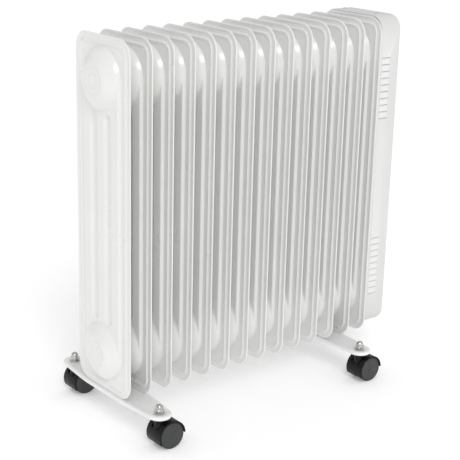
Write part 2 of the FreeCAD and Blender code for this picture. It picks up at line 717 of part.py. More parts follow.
def make_strap(label, height):
    """Hat-shaped strap that clamps the back plate to a header of the last fin."""
    body = new_body(f"{label}_body")
    foot = "plate_back + plate_thick"
    top = "row_start + fin_pitch * ( fin_count - 0.5 ) + gasket_thick"
    thick = "strap_thick"
    profile = new_sketch(body, f"{label}_profile", "XY_Plane", {"z": f"{height} - strap_half"})
    draw_polygon(profile, [
        (foot, "0 - 64"), (f"{foot} + {thick}", "0 - 64"), (f"{foot} + {thick}", f"0 - 50 - {thick}"),
        (f"{top} + {thick}", f"0 - 50 - {thick}"), (f"{top} + {thick}", f"50 + {thick}"),
        (f"{foot} + {thick}", f"50 + {thick}"), (f"{foot} + {thick}", "64"), (foot, "64"),
        (foot, "50"), (top, "50"), (top, "0 - 50"), (foot, "0 - 50"),
    ])
    pad(body, profile, f"{label}_pad", "strap_half * 2")
    bore = rod(f"{label}_bore", "header_bore", "40", x=f"{foot} - 10", z=height, rotation=TO_X)
    keep(minus(f"{label}_strap", body, bore), label)


def make_header_ends():
    """Gaskets, the filler plug, and the element with the plug that carries it."""
    face = "row_start + fin_pitch * ( fin_count - 0.5 )"
    rings = []
    for which, height in HEADERS.items():
        disc = rod(f"gasket_disc_{which}", "plug_r", "gasket_thick", x=face, z=height, rotation=TO_X)
        hole = rod(f"gasket_hole_{which}", "header_bore", "10", x=f"{face} - 5", z=height,
                   rotation=TO_X)
        rings.append(minus(f"gasket_{which}", disc, hole))
    keep(group("gaskets", rings), "header_gaskets")
    seat = f"{face} + gasket_thick + strap_thick"
    plugs = {}
    for which, height in HEADERS.items():
        spigot = rod(f"spigot_{which}", "header_bore - 0.2", "gasket_thick + strap_thick + 6",
                     x=f"{face} - 6", z=height, rotation=TO_X)
        flange = rod(f"flange_{which}", "plug_r", "plug_thick", x=seat, z=height, rotation=TO_X)
        plugs[which] = join(f"plug_{which}", [spigot, flange])
    socket = primitive("Prism", "plug_socket", {"Circumradius": "7", "Height": "6"},
                       x=f"{seat} + 1", z=HEADERS["upper"], rotation=TO_X)
    socket.Polygon = 6
    keep(minus("filler_plug_cut", plugs["upper"], socket), "filler_plug")
    tubes = [rod(f"tube_hole{side + 1}", "element_r", "60", x=f"{face} - 30",
                 y=f"element_bend * {side}", z=HEADERS["lower"], rotation=TO_X) for side in (1, -1)]
    keep(minus("element_plug_cut", plugs["lower"], join("tube_holes", tubes)), "element_plug")
    end = f"{seat} + plug_thick + 3"
    bend = primitive("Torus", "tube_bend", {"Radius1": "element_bend", "Radius2": "element_r"},
                     x="element_end", z=HEADERS["lower"], rotation=Rotation(Z_AXIS, 90))
    bend.Angle3 = 180
    pieces = [bend]
    for side in (1, -1):
        pieces.append(rod(f"tube_run{side + 1}", "element_r", f"{end} - ( element_end )",
                          x="element_end", y=f"element_bend * {side}", z=HEADERS["lower"],
                          rotation=TO_X))
        pieces.append(rod(f"tube_pin{side + 1}", "1.5", "8", x=end, y=f"element_bend * {side}",
                          z=HEADERS["lower"], rotation=TO_X))
    keep(join("element", pieces), "heating_element")


def make_electrics():
    """Terminal block and thermal cut-out on the back plate."""
    front = "plate_back + plate_thick"
    case = block("terminal_case", ("14", "44", "18"), front, "0 - 22", "240")
    wells = [rod(f"terminal_well{n}", "2.2", "10", x=f"{front} + 8", y=str(12 * n - 12), z="249",
                 rotation=TO_X) for n in range(3)]
    keep(minus("terminal", case, join("terminal_wells", wells)), "terminal_block")
    flange = block("cutout_flange", ("1", "24", "10"), front, "0 - 12", "325")
    can = rod("cutout_can", "8", "9", x=front, z="330", rotation=TO_X)
    keep(join("cutout", [flange, can]), "thermal_cutout")


def make_gland():
    """Cord gland through the cover's underside, with its lock nut inside."""
    skirt = rod("gland_skirt", "gland_r + 2", "3", x="gland_x", z="box_base - 3")
    barrel = rod("gland_barrel", "gland_r", "13", x="gland_x", z="box_base")
    bore = rod("gland_hole", "gland_bore", "30", x="gland_x", z="box_base - 10")
    keep(minus("gland", join("gland_solid", [skirt, barrel]), bore), "cord_gland")
    nut = rod("gland_nut_disc", "gland_r + 2.5", "4", x="gland_x", z="box_base + box_wall")
    hole = rod("gland_nut_hole", "gland_r", "10", x="gland_x", z="box_base")
    keep(minus("gland_nut_ring", nut, hole), "gland_nut")


def make_cover_screws():
    """Four screws that hold the cover to the back plate's tabs."""
    shank = rod("screw_shank", "1.8", "8", z="0 - 8")
    head = rod("screw_head", "3.6", "1.8", z="0")
    slot = block("screw_slot", ("0.9", "10", "2"), "0 - 0.45", "0 - 5", "0.9")
    screw = minus("screw", join("screw_solid", [shank, head]), slot)
    screws = []
    for n, side in enumerate((-1, 1)):
        screws.append(copy_of(screw, f"top_screw{n}", x="gland_x - 9", y=f"{side} * screw_y", z="box_top"))
        screws.append(copy_of(screw, f"bottom_screw{n}", x="gland_x - 9", y=f"{side} * screw_y",
                              z="box_base", rotation=Rotation(X_AXIS, 180)))
    keep(group("screws", screws), "cover_screws")


# ---- the whole heater ---------------------------------------------------------------

make_fins()
for label, position in (("front_foot", "foot_front"), ("rear_foot", "foot_rear")):
    make_foot(label, position)
    make_u_bolt(f"{label.split('_')[0]}_u_bolt", position)
make_wing_nuts()
make_stem_hardware()
make_casters()
make_cover()
make_panel()
make_thermostat()
make_switches()
make_lamp()
make_back_plate()
for which, height in HEADERS.items():
    make_strap(f"{which}_strap", height)
make_header_ends()
make_electrics()
make_gland()
make_cover_screws()
document.recompute()

for thing in document.Objects:
    if "Invalid" in thing.State or "Error" in thing.State:
        raise RuntimeError(f"{thing.Label} failed: {thing.State}")
for thing in PARTS:
    shape = Part.getShape(thing)
    if shape.isNull() or not shape.isValid() or not shape.Solids:
        raise RuntimeError(f"{thing.Label} has no valid solid")

os.makedirs("parts", exist_ok=True)
for thing in PARTS:
    Part.getShape(thing).exportStep(f"parts/{thing.Label}.step")
print(len(PARTS), "sub-parts written")
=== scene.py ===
"""Looks of an oil filled radiator heater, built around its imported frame.

Sizes inside the classes are millimetres; meshes are written in metres, in the frame's own axes:
+X along the row of fins towards the control box, +Y across it, +Z up from the floor.
"""

import json
import logging
import math
from collections.abc import Sequence
from dataclasses import dataclass
from enum import Enum

import bmesh
import bpy
import numpy as np
from mathutils import Matrix, Vector


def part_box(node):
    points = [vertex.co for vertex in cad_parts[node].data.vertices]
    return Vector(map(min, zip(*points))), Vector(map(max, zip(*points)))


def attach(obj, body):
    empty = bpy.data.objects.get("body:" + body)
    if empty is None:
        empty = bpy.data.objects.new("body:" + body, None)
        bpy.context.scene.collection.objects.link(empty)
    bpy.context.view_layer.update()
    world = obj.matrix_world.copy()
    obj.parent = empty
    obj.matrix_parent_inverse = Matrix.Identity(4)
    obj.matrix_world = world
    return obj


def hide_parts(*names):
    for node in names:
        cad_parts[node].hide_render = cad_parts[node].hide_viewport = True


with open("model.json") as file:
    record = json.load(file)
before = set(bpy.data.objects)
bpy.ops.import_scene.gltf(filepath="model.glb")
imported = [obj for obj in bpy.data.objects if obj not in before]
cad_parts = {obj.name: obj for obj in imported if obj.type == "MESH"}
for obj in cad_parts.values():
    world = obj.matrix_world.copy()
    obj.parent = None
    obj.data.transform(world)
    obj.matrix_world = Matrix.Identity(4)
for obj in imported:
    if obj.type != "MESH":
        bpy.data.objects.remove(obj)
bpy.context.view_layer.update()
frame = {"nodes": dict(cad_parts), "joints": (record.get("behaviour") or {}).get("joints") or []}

MM = 0.001
LOG = logging.getLogger("radiator")


# ---- small tools ----------------------------------------------------------------------------

def linear(code: str) -> tuple[float, float, float, float]:
    """Turn an sRGB hex colour into a linear one with full alpha.

    Args:
        code: Six hex digits after a hash.

    Returns:
        Red, green, blue and alpha, linear.
    """
    shades = [int(code[i:i + 2], 16) / 255 for i in (1, 3, 5)]
    return (*(c / 12.92 if c <= 0.04045 else ((c + 0.055) / 1.055) ** 2.4 for c in shades), 1.0)


def add_node(tree: bpy.types.NodeTree, kind: str, settings: dict[str, object] | None = None,
             inputs: dict[str | int, object] | None = None) -> bpy.types.Node:
    """Add a node to a tree with its settings and its links.

    Args:
        tree: Shader or geometry tree.
        kind: Blender's name of the node type.
        settings: Properties of the node.
        inputs: A value or another node's output for each named or numbered input.

    Returns:
        The new node.
    """
    node = tree.nodes.new(kind)
    for name, value in (settings or {}).items():
        setattr(node, name, value)
    for key, value in (inputs or {}).items():
        if isinstance(value, bpy.types.NodeSocket):
            tree.links.new(value, node.inputs[key])
        else:
            node.inputs[key].default_value = value
    return node


def new_tree(name: str, inputs: dict[str, str]) -> tuple[bpy.types.NodeTree, dict[str, str]]:
    """Start a Geometry Nodes tree that takes geometry and gives geometry.

    Args:
        name: Name of the tree.
        inputs: Kind of each further named input, such as Float or Material.

    Returns:
        The tree, and the identifier of each named input.
    """
    tree = bpy.data.node_groups.new(name, "GeometryNodeTree")
    add_socket = tree.interface.new_socket
    add_socket("Geometry", in_out="OUTPUT", socket_type="NodeSocketGeometry")
    names = {label: add_socket(label, in_out="INPUT", socket_type=f"NodeSocket{kind}").identifier
             for label, kind in {"Geometry": "Geometry", **inputs}.items()}
    return tree, names


def add_object(name: str, data: bpy.types.ID) -> bpy.types.Object:
    """Put a mesh, a lamp or a camera into the scene."""
    thing = bpy.data.objects.new(name, data)
    bpy.context.scene.collection.objects.link(thing)
    return thing


def node_box(name: str) -> tuple[np.ndarray, np.ndarray]:
    """Lowest and highest corner of a frame node, in millimetres."""
    low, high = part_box(name)
    return np.array(low) / MM, np.array(high) / MM


# ---- finishes -------------------------------------------------------------------------------

class Grain(Enum):
    """How the surface was made, which sets the pattern of its fine relief."""

    PEEL = "sprayed and stoved: a soft ripple like orange peel"
    SPARK = "moulded in a spark eroded tool: fine rounded pits"
    DRAWN = "drawn or rolled: long faint lines"


@dataclass(frozen=True)
class Finish:
    """A surface finish named for the real one.

    Attributes:
        name: Common name of the material and how it was made.
        slot: Material slot of the frame's record; not used.
        colour: Main sRGB colour.
        shade: Colour that drifts in over the main one.
        roughness: Middle roughness.
        drift: How far the roughness wanders from the middle.
        grain: Pattern of the fine relief.
        grain_mm: Size of one ripple or pit.
        depth_mm: Height of the relief.
        patch_mm: Size of the colour patches.
        edge_highlight: Lighter colour mixed onto sharp edges, as a painted highlight.
        metallic: One for bare metal.
        coat: Strength of a clear top layer.
        coat_roughness: Roughness of that layer.
        ior: Index of refraction; metals keep the default.
        clear: Share of light that passes through.
    """

    name: str
    slot: str
    colour: str
    shade: str
    roughness: float
    drift: float
    grain: Grain
    grain_mm: float
    depth_mm: float
    patch_mm: float
    edge_highlight: str
    metallic: float = 0.0
    coat: float = 0.0
    coat_roughness: float = 0.1
    ior: float = 1.5
    clear: float = 0.0

    def relief(self, tree: bpy.types.NodeTree, place: bpy.types.NodeSocket) -> bpy.types.NodeSocket:
        """Add the fine relief's pattern.

        Args:
            tree: The material's node tree.
            place: Object coordinates, in metres.

        Returns:
            A height from 0 to 1.
        """
        scale = 1 / (self.grain_mm * MM)
        if self.grain is Grain.SPARK:
            pits = add_node(tree, "ShaderNodeTexVoronoi", {"feature": "SMOOTH_F1"},
                            {"Vector": place, "Scale": scale, "Smoothness": 0.6})
            return pits.outputs["Distance"]
        if self.grain is Grain.DRAWN:
            lines = add_node(tree, "ShaderNodeMapping", None,
                             {"Vector": place, "Scale": (1.0, 0.04, 1.0)})
            place = lines.outputs["Vector"]
        ripple = add_node(tree, "ShaderNodeTexNoise", None,
                          {"Vector": place, "Scale": scale, "Detail": 1.5, "Roughness": 0.4})
        return ripple.outputs["Fac"]

    def make(self) -> bpy.types.Material:
        """Build the material.

        Returns:
            A node based material with drifting colour and roughness, relief, and a painted
            highlight on sharp edges.
        """
        material = bpy.data.materials.new(self.name)
        material.use_nodes = True
        tree = material.node_tree
        tree.nodes.clear()
        place = add_node(tree, "ShaderNodeTexCoord").outputs["Object"]
        patches = add_node(tree, "ShaderNodeTexNoise", None, {
            "Vector": place, "Scale": 1 / (self.patch_mm * MM), "Detail": 3.0, "Roughness": 0.55})
        spread = add_node(tree, "ShaderNodeMapRange", None, {
            "Value": patches.outputs["Fac"], "From Min": 0.35, "From Max": 0.68})
        body = add_node(tree, "ShaderNodeMix", {"data_type": "RGBA"}, {
            0: spread.outputs["Result"], 6: linear(self.colour), 7: linear(self.shade)})
        # Painted highlight: sharp edges, found by pointiness, are mixed towards the lighter edge
        # colour.
        corners = add_node(tree, "ShaderNodeNewGeometry").outputs["Pointiness"]
        edge = add_node(tree, "ShaderNodeMapRange", None, {
            "Value": corners, "From Min": 0.53, "From Max": 0.62, "To Max": 0.75})
        colour = add_node(tree, "ShaderNodeMix", {"data_type": "RGBA"}, {
            0: edge.outputs["Result"], 6: body.outputs[2], 7: linear(self.edge_highlight)})
        smears = add_node(tree, "ShaderNodeTexNoise", None, {
            "Vector": place, "Scale": 2.7 / (self.patch_mm * MM), "Detail": 4.0})
        rough = add_node(tree, "ShaderNodeMapRange", None, {
            "Value": smears.outputs["Fac"], "From Min": 0.3, "From Max": 0.7,
            "To Min": self.roughness - self.drift, "To Max": self.roughness + self.drift})
        bump = add_node(tree, "ShaderNodeBump", None, {
            "Height": self.relief(tree, place), "Strength": 1.0, "Distance": self.depth_mm * MM})
        surface = {"Base Color": colour.outputs[2], "Roughness": rough.outputs["Result"],
                   "Normal": bump.outputs["Normal"], "Metallic": self.metallic,
                   "Coat Weight": self.coat, "Coat Roughness": self.coat_roughness,
                   "Transmission Weight": self.clear}
        if not self.metallic:
            surface["IOR"] = self.ior
        shader = add_node(tree, "ShaderNodeBsdfPrincipled", None, surface)
        add_node(tree, "ShaderNodeOutputMaterial", None, {"Surface": shader.outputs["BSDF"]})
        return material


# Stoved enamel on pressed steel: hard, smooth and glossy; its rolled rims get a painted highlight
# from the lighter edge colour.
# The ripple of real orange peel is under 1 mm; it is drawn at 6 mm, as a faint unrest in the gloss.
FIN_ENAMEL = Finish("white_stoved_enamel", "fin_enamel", "#e8e8e7", "#e5e5e3", 0.3, 0.03,
                    Grain.PEEL, 6.0, 0.004, 160.0, "#f8f8f8", coat=0.4, coat_roughness=0.1)
# Powder coat on the feet: the same white with a thicker, softer skin.
FOOT_COAT = Finish("white_powder_coat", "foot_enamel", "#ebebeb", "#e7e7e7", 0.34, 0.04,
                   Grain.PEEL, 3.5, 0.008, 60.0, "#f6f6f6", coat=0.3, coat_roughness=0.15)
# Bright nickel plate on the dome nuts: pale, mirror like, dulled by handling.
NICKEL_PLATE = Finish("bright_nickel_plate", "nickel", "#d3d2cf", "#adaca9", 0.12, 0.05,
                      Grain.PEEL, 2.5, 0.01, 9.0, "#efece4", metallic=1.0)
# Zinc plate on hidden steel: a blue grey, cloudy sheen.
ZINC_PLATE = Finish("zinc_plated_steel", "zinc_steel", "#b9bdc1", "#9a9fa3", 0.34, 0.08,
                    Grain.DRAWN, 1.2, 0.01, 18.0, "#dfe2e4", metallic=1.0)
# Drawn steel: stems, axles and pins, with faint lines along them.
DRAWN_STEEL = Finish("drawn_steel", "stem_steel", "#a8a8a9", "#87888a", 0.28, 0.06,
                     Grain.DRAWN, 0.8, 0.008, 10.0, "#d8d8d9", metallic=1.0)
# Black nylon of the caster hoods: moulded smooth with a low sheen, with a painted highlight that
# pales its edges.
HOOD_NYLON = Finish("black_moulded_nylon", "hood_plastic", "#0b0b0c", "#101011", 0.34, 0.05,
                    Grain.SPARK, 1.6, 0.015, 14.0, "#1c1d1e", ior=1.3)
# Grey nylon of the wheels: flatter and paler than the hoods.
WHEEL_NYLON = Finish("dark_grey_moulded_nylon", "wheel_plastic", "#343536", "#2d2e2f", 0.48, 0.06,
                     Grain.SPARK, 1.8, 0.02, 12.0, "#4c4d4e", ior=1.53)
# Tread ring of the wheels: a real tread in nylon, drawn black as a painted shadow of the dark gap
# between the hood's lip and the wheel's face.
TREAD_PAINTED_SHADOW = Finish("scuffed_black_tread", "wheel_plastic", "#0b0b0c", "#121213", 0.6, 0.08,
                     Grain.SPARK, 1.4, 0.04, 7.0, "#1c1c1d", ior=1.53)
# White ABS cover: moulded satin, a little flatter than the enamel.
COVER_ABS = Finish("white_moulded_abs", "cover_plastic", "#d8d8d7", "#d4d4d3", 0.42, 0.03,
                   Grain.SPARK, 1.6, 0.008, 120.0, "#efefef", ior=1.54)
# Grey ABS panel: fine spark texture that kills the shine.
PANEL_ABS = Finish("grey_textured_abs", "panel_plastic", "#a9acaf", "#a2a5a8", 0.55, 0.05,
                   Grain.SPARK, 1.2, 0.05, 40.0, "#bfc2c4", ior=1.54)
# Dark print on the panel's scale and the knob's pointer line.
SCALE_PRINT = Finish("dark_grey_print", "panel_plastic", "#3b3d40", "#45474a", 0.5, 0.05,
                     Grain.SPARK, 1.0, 0.01, 10.0, "#4e5053")
# White ABS knob: polished grip faces.
KNOB_ABS = Finish("white_polished_abs", "knob_plastic", "#e6e6e4", "#dededc", 0.26, 0.05,
                  Grain.SPARK, 1.5, 0.01, 25.0, "#f5f5f3", ior=1.54)
# Black switch mouldings.
SWITCH_BLACK = Finish("black_gloss_switch_moulding", "switch_plastic", "#141416", "#1a1a1c", 0.34,
                      0.05, Grain.SPARK, 1.0, 0.01, 9.0, "#3a3a3c", ior=1.54)
# White marks moulded into the rockers.
SWITCH_MARK = Finish("white_switch_marks", "switch_plastic", "#d9d9d7", "#cfcfcd", 0.4, 0.05,
                     Grain.SPARK, 1.0, 0.01, 6.0, "#ececea")
# Amber lens of the pilot lamp: clear acrylic, lit from behind by the panel's own colour.
LENS_ACRYLIC = Finish("amber_acrylic_lens", "lens_plastic", "#ff7a1e", "#f26510", 0.08, 0.03,
                      Grain.PEEL, 1.5, 0.01, 4.0, "#ffa050", ior=1.49, clear=0.6)
# Rubber gaskets, matt and brown black.
GASKET_RUBBER = Finish("matt_gasket_rubber", "gasket_rubber", "#3a2622", "#2c1d1a", 0.8, 0.08,
                       Grain.SPARK, 1.0, 0.05, 8.0, "#57403b")
# Heating tube: steel that has been red hot, straw and blue in patches.
HEATED_STEEL = Finish("heat_tinted_steel", "element_steel", "#8f7f6a", "#5d6576", 0.38, 0.08,
                      Grain.DRAWN, 1.0, 0.01, 22.0, "#b8a88f", metallic=1.0)
# Terminal block: cream thermoset, dull and slightly speckled.
BLOCK_THERMOSET = Finish("cream_thermoset", "block_plastic", "#d8d2bb", "#c9c2a8", 0.6, 0.06,
                         Grain.SPARK, 1.2, 0.04, 5.0, "#e6e1cd")
# Thermostat cans: pressed aluminium.
PRESSED_ALUMINIUM = Finish("pressed_aluminium", "thermostat_metal", "#c3c5c7", "#a9abad", 0.36,
                           0.07, Grain.DRAWN, 1.0, 0.01, 12.0, "#e6e7e8", metallic=1.0)
# Cord gland: light grey nylon.
GLAND_NYLON = Finish("light_grey_nylon", "gland_plastic", "#cfd0d0", "#c4c5c5", 0.48, 0.06,
                     Grain.SPARK, 1.3, 0.03, 12.0, "#e2e2e2", ior=1.53)

FINISHES = (FIN_ENAMEL, FOOT_COAT, NICKEL_PLATE, ZINC_PLATE, DRAWN_STEEL, HOOD_NYLON, WHEEL_NYLON,
            TREAD_PAINTED_SHADOW, COVER_ABS, PANEL_ABS, SCALE_PRINT, KNOB_ABS, SWITCH_BLACK, SWITCH_MARK,
            LENS_ACRYLIC, GASKET_RUBBER, HEATED_STEEL, BLOCK_THERMOSET, PRESSED_ALUMINIUM,
            GLAND_NYLON)


class Dresser:
    """Makes each finish once and hands pieces over to the frame."""

    def __init__(self) -> None:
        """Make every material."""
        self.made = {finish.name: finish.make() for finish in FINISHES}

    def material(self, finish: Finish) -> bpy.types.Material:
        """Material of a finish."""
        return self.made[finish.name]

    def hand_over(self, piece: bpy.types.Object, body: str, finish: Finish,
                  nodes: Sequence[str]) -> None:
        """Give a piece its finish, its body and the frame nodes that it stands for.

        Args:
            piece: Finished mesh object at the origin.
            body: Body that it rides on.
            finish: Its finish; used where the mesh has no material yet.
            nodes: Frame nodes that it replaces.
        """
        if not piece.data.materials:
            piece.data.materials.append(self.material(finish))
        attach(piece, body)
        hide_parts(*nodes)
        LOG.info("%s: %d faces, rides on %s, stands for %s", piece.name,
                 len(piece.data.polygons), body, ", ".join(nodes))

    def dress(self, nodes: Sequence[str], finish: Finish) -> None:
        """Give frame nodes that stay in view a better material.

        Args:
            nodes: Names of the nodes.
            finish: Their finish.
        """
        for name in nodes:
            for slot in frame["nodes"][name].material_slots:
                slot.material = self.material(finish)
            LOG.info("%s keeps its own shape, in %s", name, finish.name)


# ---- mesh building --------------------------------------------------------------------------

class Axis(Enum):
    """Axis that a profile turns about: which axes run across it, across it and along it."""

    X = (1, 2, 0)
    Y = (2, 0, 1)
    Z = (0, 1, 2)


class Carving(Enum):
    """What one solid does to another."""

    CUT = "DIFFERENCE"
    FUSE = "UNION"


class Shell:
    """Points and faces of one piece while it is being built, in millimetres."""

    PIN_POINT = 0.001
    WELD = 0.004

    def __init__(self) -> None:
        """Start with no points."""
        self.points: list[Sequence[float]] = []
        self.faces: list[tuple[int, ...]] = []

    def add_points(self, points: np.ndarray) -> list[int]:
        """Add points and return their numbers."""
        first = len(self.points)
        self.points.extend(points.tolist())
        return list(range(first, len(self.points)))

    def skin(self, loops: Sequence[np.ndarray], start_cap: bool = True,
             end_cap: bool = True) -> None:
        """Join a stack of loops with quads.

        Args:
            loops: Arrays of points, all of one length; each runs back to its own start.
            start_cap: Close the first loop with one face.
            end_cap: Close the last loop with one face.
        """
        rows = [self.add_points(loop) for loop in loops]
        count = len(rows[0])
        for low, high in zip(rows, rows[1:]):
            for n in range(count):
                after = (n + 1) % count
                self.faces.append((low[n], low[after], high[after], high[n]))
        if start_cap:
            self.faces.append(tuple(reversed(rows[0])))
        if end_cap:
            self.faces.append(tuple(rows[-1]))

    def lathe(self, profile: Sequence[tuple[float, float]], centre: Sequence[float],
              axis: Axis, steps: int) -> None:
        """Turn a profile about an axis.

        Args:
            profile: Pairs of radius and distance along the axis; a radius of 0 closes an end.
            centre: Point on the axis from which the distances count.
            axis: Axis of the turn.
            steps: Points in a full turn.
        """
        angles = np.arange(steps) * math.tau / steps
        circle = np.stack([np.cos(angles), np.sin(angles)], axis=1)
        across, up, onward = axis.value
        loops = []
        for radius, along in profile:
            loop = np.empty((steps, 3))
            loop[:, [across, up]] = circle * max(radius, self.PIN_POINT)
            loop[:, onward] = along
            loops.append(loop + np.asarray(centre, float))
        ends_meet = profile[0] == profile[-1]
        self.skin(loops, start_cap=not ends_meet, end_cap=not ends_meet)

    def block(self, low: Sequence[float], high: Sequence[float]) -> None:
        """Add a plain block, for cutting tools and small marks."""
        (x0, y0, z0), (x1, y1, z1) = low, high
        ring = np.array([(x0, y0), (x1, y0), (x1, y1), (x0, y1)], float)
        self.skin([np.column_stack([ring, np.full(4, z)]) for z in (z0, z1)])

    def build(self, name: str, sharp_deg: float = 35.0) -> bpy.types.Object:
        """Write the mesh object, closed and facing outwards.

        Args:
            name: Name of the piece.
            sharp_deg: Edges that turn by more than this stay crisp.

        Returns:
            The object, at the origin.
        """
        mesh = bpy.data.meshes.new(name)
        mesh.from_pydata([tuple(c * MM for c in point) for point in self.points], [], self.faces)
        work = bmesh.new()
        work.from_mesh(mesh)
        bmesh.ops.remove_doubles(work, verts=work.verts, dist=self.WELD * MM)
        bmesh.ops.recalc_face_normals(work, faces=work.faces)
        work.to_mesh(mesh)
        work.free()
        smooth(mesh, sharp_deg)
        return add_object(name, mesh)


def smooth(mesh: bpy.types.Mesh, sharp_deg: float) -> None:
    """Shade a mesh smooth, with its sharper edges kept crisp."""
    mesh.shade_smooth()
    mesh.set_sharp_from_angle(angle=math.radians(sharp_deg))


def settle(worker: bpy.types.Object, name: str) -> bpy.types.Object:
    """Turn an object with live modifiers into a plain mesh object.

    Args:
        worker: Object whose modifiers are evaluated; it is removed.
        name: Name of the result.

    Returns:
        The plain object, at the origin.
    """
    depsgraph = bpy.context.evaluated_depsgraph_get()
    mesh = bpy.data.meshes.new_from_object(worker.evaluated_get(depsgraph))
    worker.modifiers.clear()
    bpy.data.objects.remove(worker)
    mesh.name = name
    return add_object(name, mesh)


def carve(base: bpy.types.Object, tool: bpy.types.Object, carving: Carving,
          sharp_deg: float = 35.0) -> bpy.types.Object:
    """Cut a tool out of a solid, or fuse the two.

    Args:
        base: Solid to work on; it is replaced.
        tool: Second solid; it is removed.
        carving: What the second solid does.
        sharp_deg: Edges that turn by more than this stay crisp.

    Returns:
        The result, under the base's name.
    """
    name = base.name
    base.name = f"{name}.work"
    change = base.modifiers.new("change", "BOOLEAN")
    change.operation = carving.value
    change.solver = "EXACT"
    change.use_self = True
    change.object = tool
    piece = settle(base, name)
    bpy.data.objects.remove(tool)
    smooth(piece.data, sharp_deg)
    return piece


def even_normals(piece: bpy.types.Object) -> bpy.types.Object:
    """Let large flat faces set the shading of the small ones that round them off."""
    name = piece.name
    piece.name = f"{name}.work"
    weigh = piece.modifiers.new("weigh", "WEIGHTED_NORMAL")
    weigh.keep_sharp = True
    return settle(piece, name)


def rounded_outline(half: float, low: float, high: float, radius: float,
                    arc_steps: int = 10) -> np.ndarray:
    """Rounded rectangle about the middle of the first axis.

    Args:
        half: Half its width.
        low: Lower edge.
        high: Upper edge.
        radius: Corner radius.
        arc_steps: Steps in each corner.

    Returns:
        Points in order, counter-clockwise.
    """
    centres = [(half - radius, low + radius, -90), (half - radius, high - radius, 0),
               (radius - half, high - radius, 90), (radius - half, low + radius, 180)]
    points = []
    for across, up, start in centres:
        for turn in np.radians(np.linspace(start, start + 90, arc_steps + 1)):
            points.append((across + radius * math.cos(turn), up + radius * math.sin(turn)))
    return np.array(points)


def lay_flat(outline: np.ndarray, z: float) -> np.ndarray:
    """Place an outline of X and Y in the plane at z."""
    return np.column_stack([outline, np.full(len(outline), z)])


def stand_up(outline: np.ndarray, x: float) -> np.ndarray:
    """Place an outline of Y and Z in the plane at x."""
    return np.column_stack([np.full(len(outline), x), outline])


# ---- repeated pieces ------------------------------------------------------------------------

class Repeater:
    """Geometry Nodes that set copies of one piece at marked places."""

    TURN = "turn"
    SIZE = "size"

    def __init__(self) -> None:
        """Build the tree once."""
        tree, self.sockets = new_tree("set_at_places", {"Piece": "Object", "Finish": "Material"})
        given = add_node(tree, "NodeGroupInput")
        piece = add_node(tree, "GeometryNodeObjectInfo", None, {"Object": given.outputs["Piece"]})
        turn, size = (add_node(tree, "GeometryNodeInputNamedAttribute",
                               {"data_type": "FLOAT_VECTOR"}, {"Name": label})
                      for label in (self.TURN, self.SIZE))
        turned = add_node(tree, "FunctionNodeEulerToRotation", None, {0: turn.outputs[0]})
        copies = add_node(tree, "GeometryNodeInstanceOnPoints", None, {
            "Points": given.outputs["Geometry"], "Instance": piece.outputs["Geometry"],
            "Rotation": turned.outputs[0], "Scale": size.outputs[0]})
        real = add_node(tree, "GeometryNodeRealizeInstances", None, {
            "Geometry": copies.outputs["Instances"]})
        dressed = add_node(tree, "GeometryNodeSetMaterial", None, {
            "Geometry": real.outputs["Geometry"], "Material": given.outputs["Finish"]})
        add_node(tree, "NodeGroupOutput", None, {"Geometry": dressed.outputs["Geometry"]})
        self.tree = tree

    def set_out(self, name: str, piece: bpy.types.Object, material: bpy.types.Material,
                places: Sequence[Sequence[float]],
                turns: Sequence[Sequence[float]] | None = None,
                sizes: Sequence[Sequence[float]] | None = None) -> bpy.types.Object:
        """Make one mesh of copies.

        Args:
            name: Name of the result.
            piece: Piece to copy, built about the origin; it is removed.
            material: Material of every copy.
            places: Where the copies go, in millimetres.
            turns: Rotation of each copy, in radians.
            sizes: Scale of each copy along its axes.

        Returns:
            The plain mesh object.
        """
        marks = bpy.data.meshes.new(f"{name}.places")
        marks.from_pydata([tuple(c * MM for c in place) for place in places], [], [])
        for label, values, default in ((self.TURN, turns, 0.0), (self.SIZE, sizes, 1.0)):
            layer = marks.attributes.new(label, "FLOAT_VECTOR", "POINT")
            rows = values if values is not None else [(default,) * 3] * len(places)
            layer.data.foreach_set("vector", np.asarray(rows, float).ravel())
        worker = add_object(f"{name}.work", marks)
        modifier = worker.modifiers.new("copies", "NODES")
        modifier.node_group = self.tree
        modifier[self.sockets["Piece"]] = piece
        modifier[self.sockets["Finish"]] = material
        result = settle(worker, name)
        for label in (self.TURN, self.SIZE):
            layer = result.data.attributes.get(label)
            if layer is not None:
                result.data.attributes.remove(layer)
        bpy.data.objects.remove(piece)
        return result


# ---- fins -----------------------------------------------------------------------------------

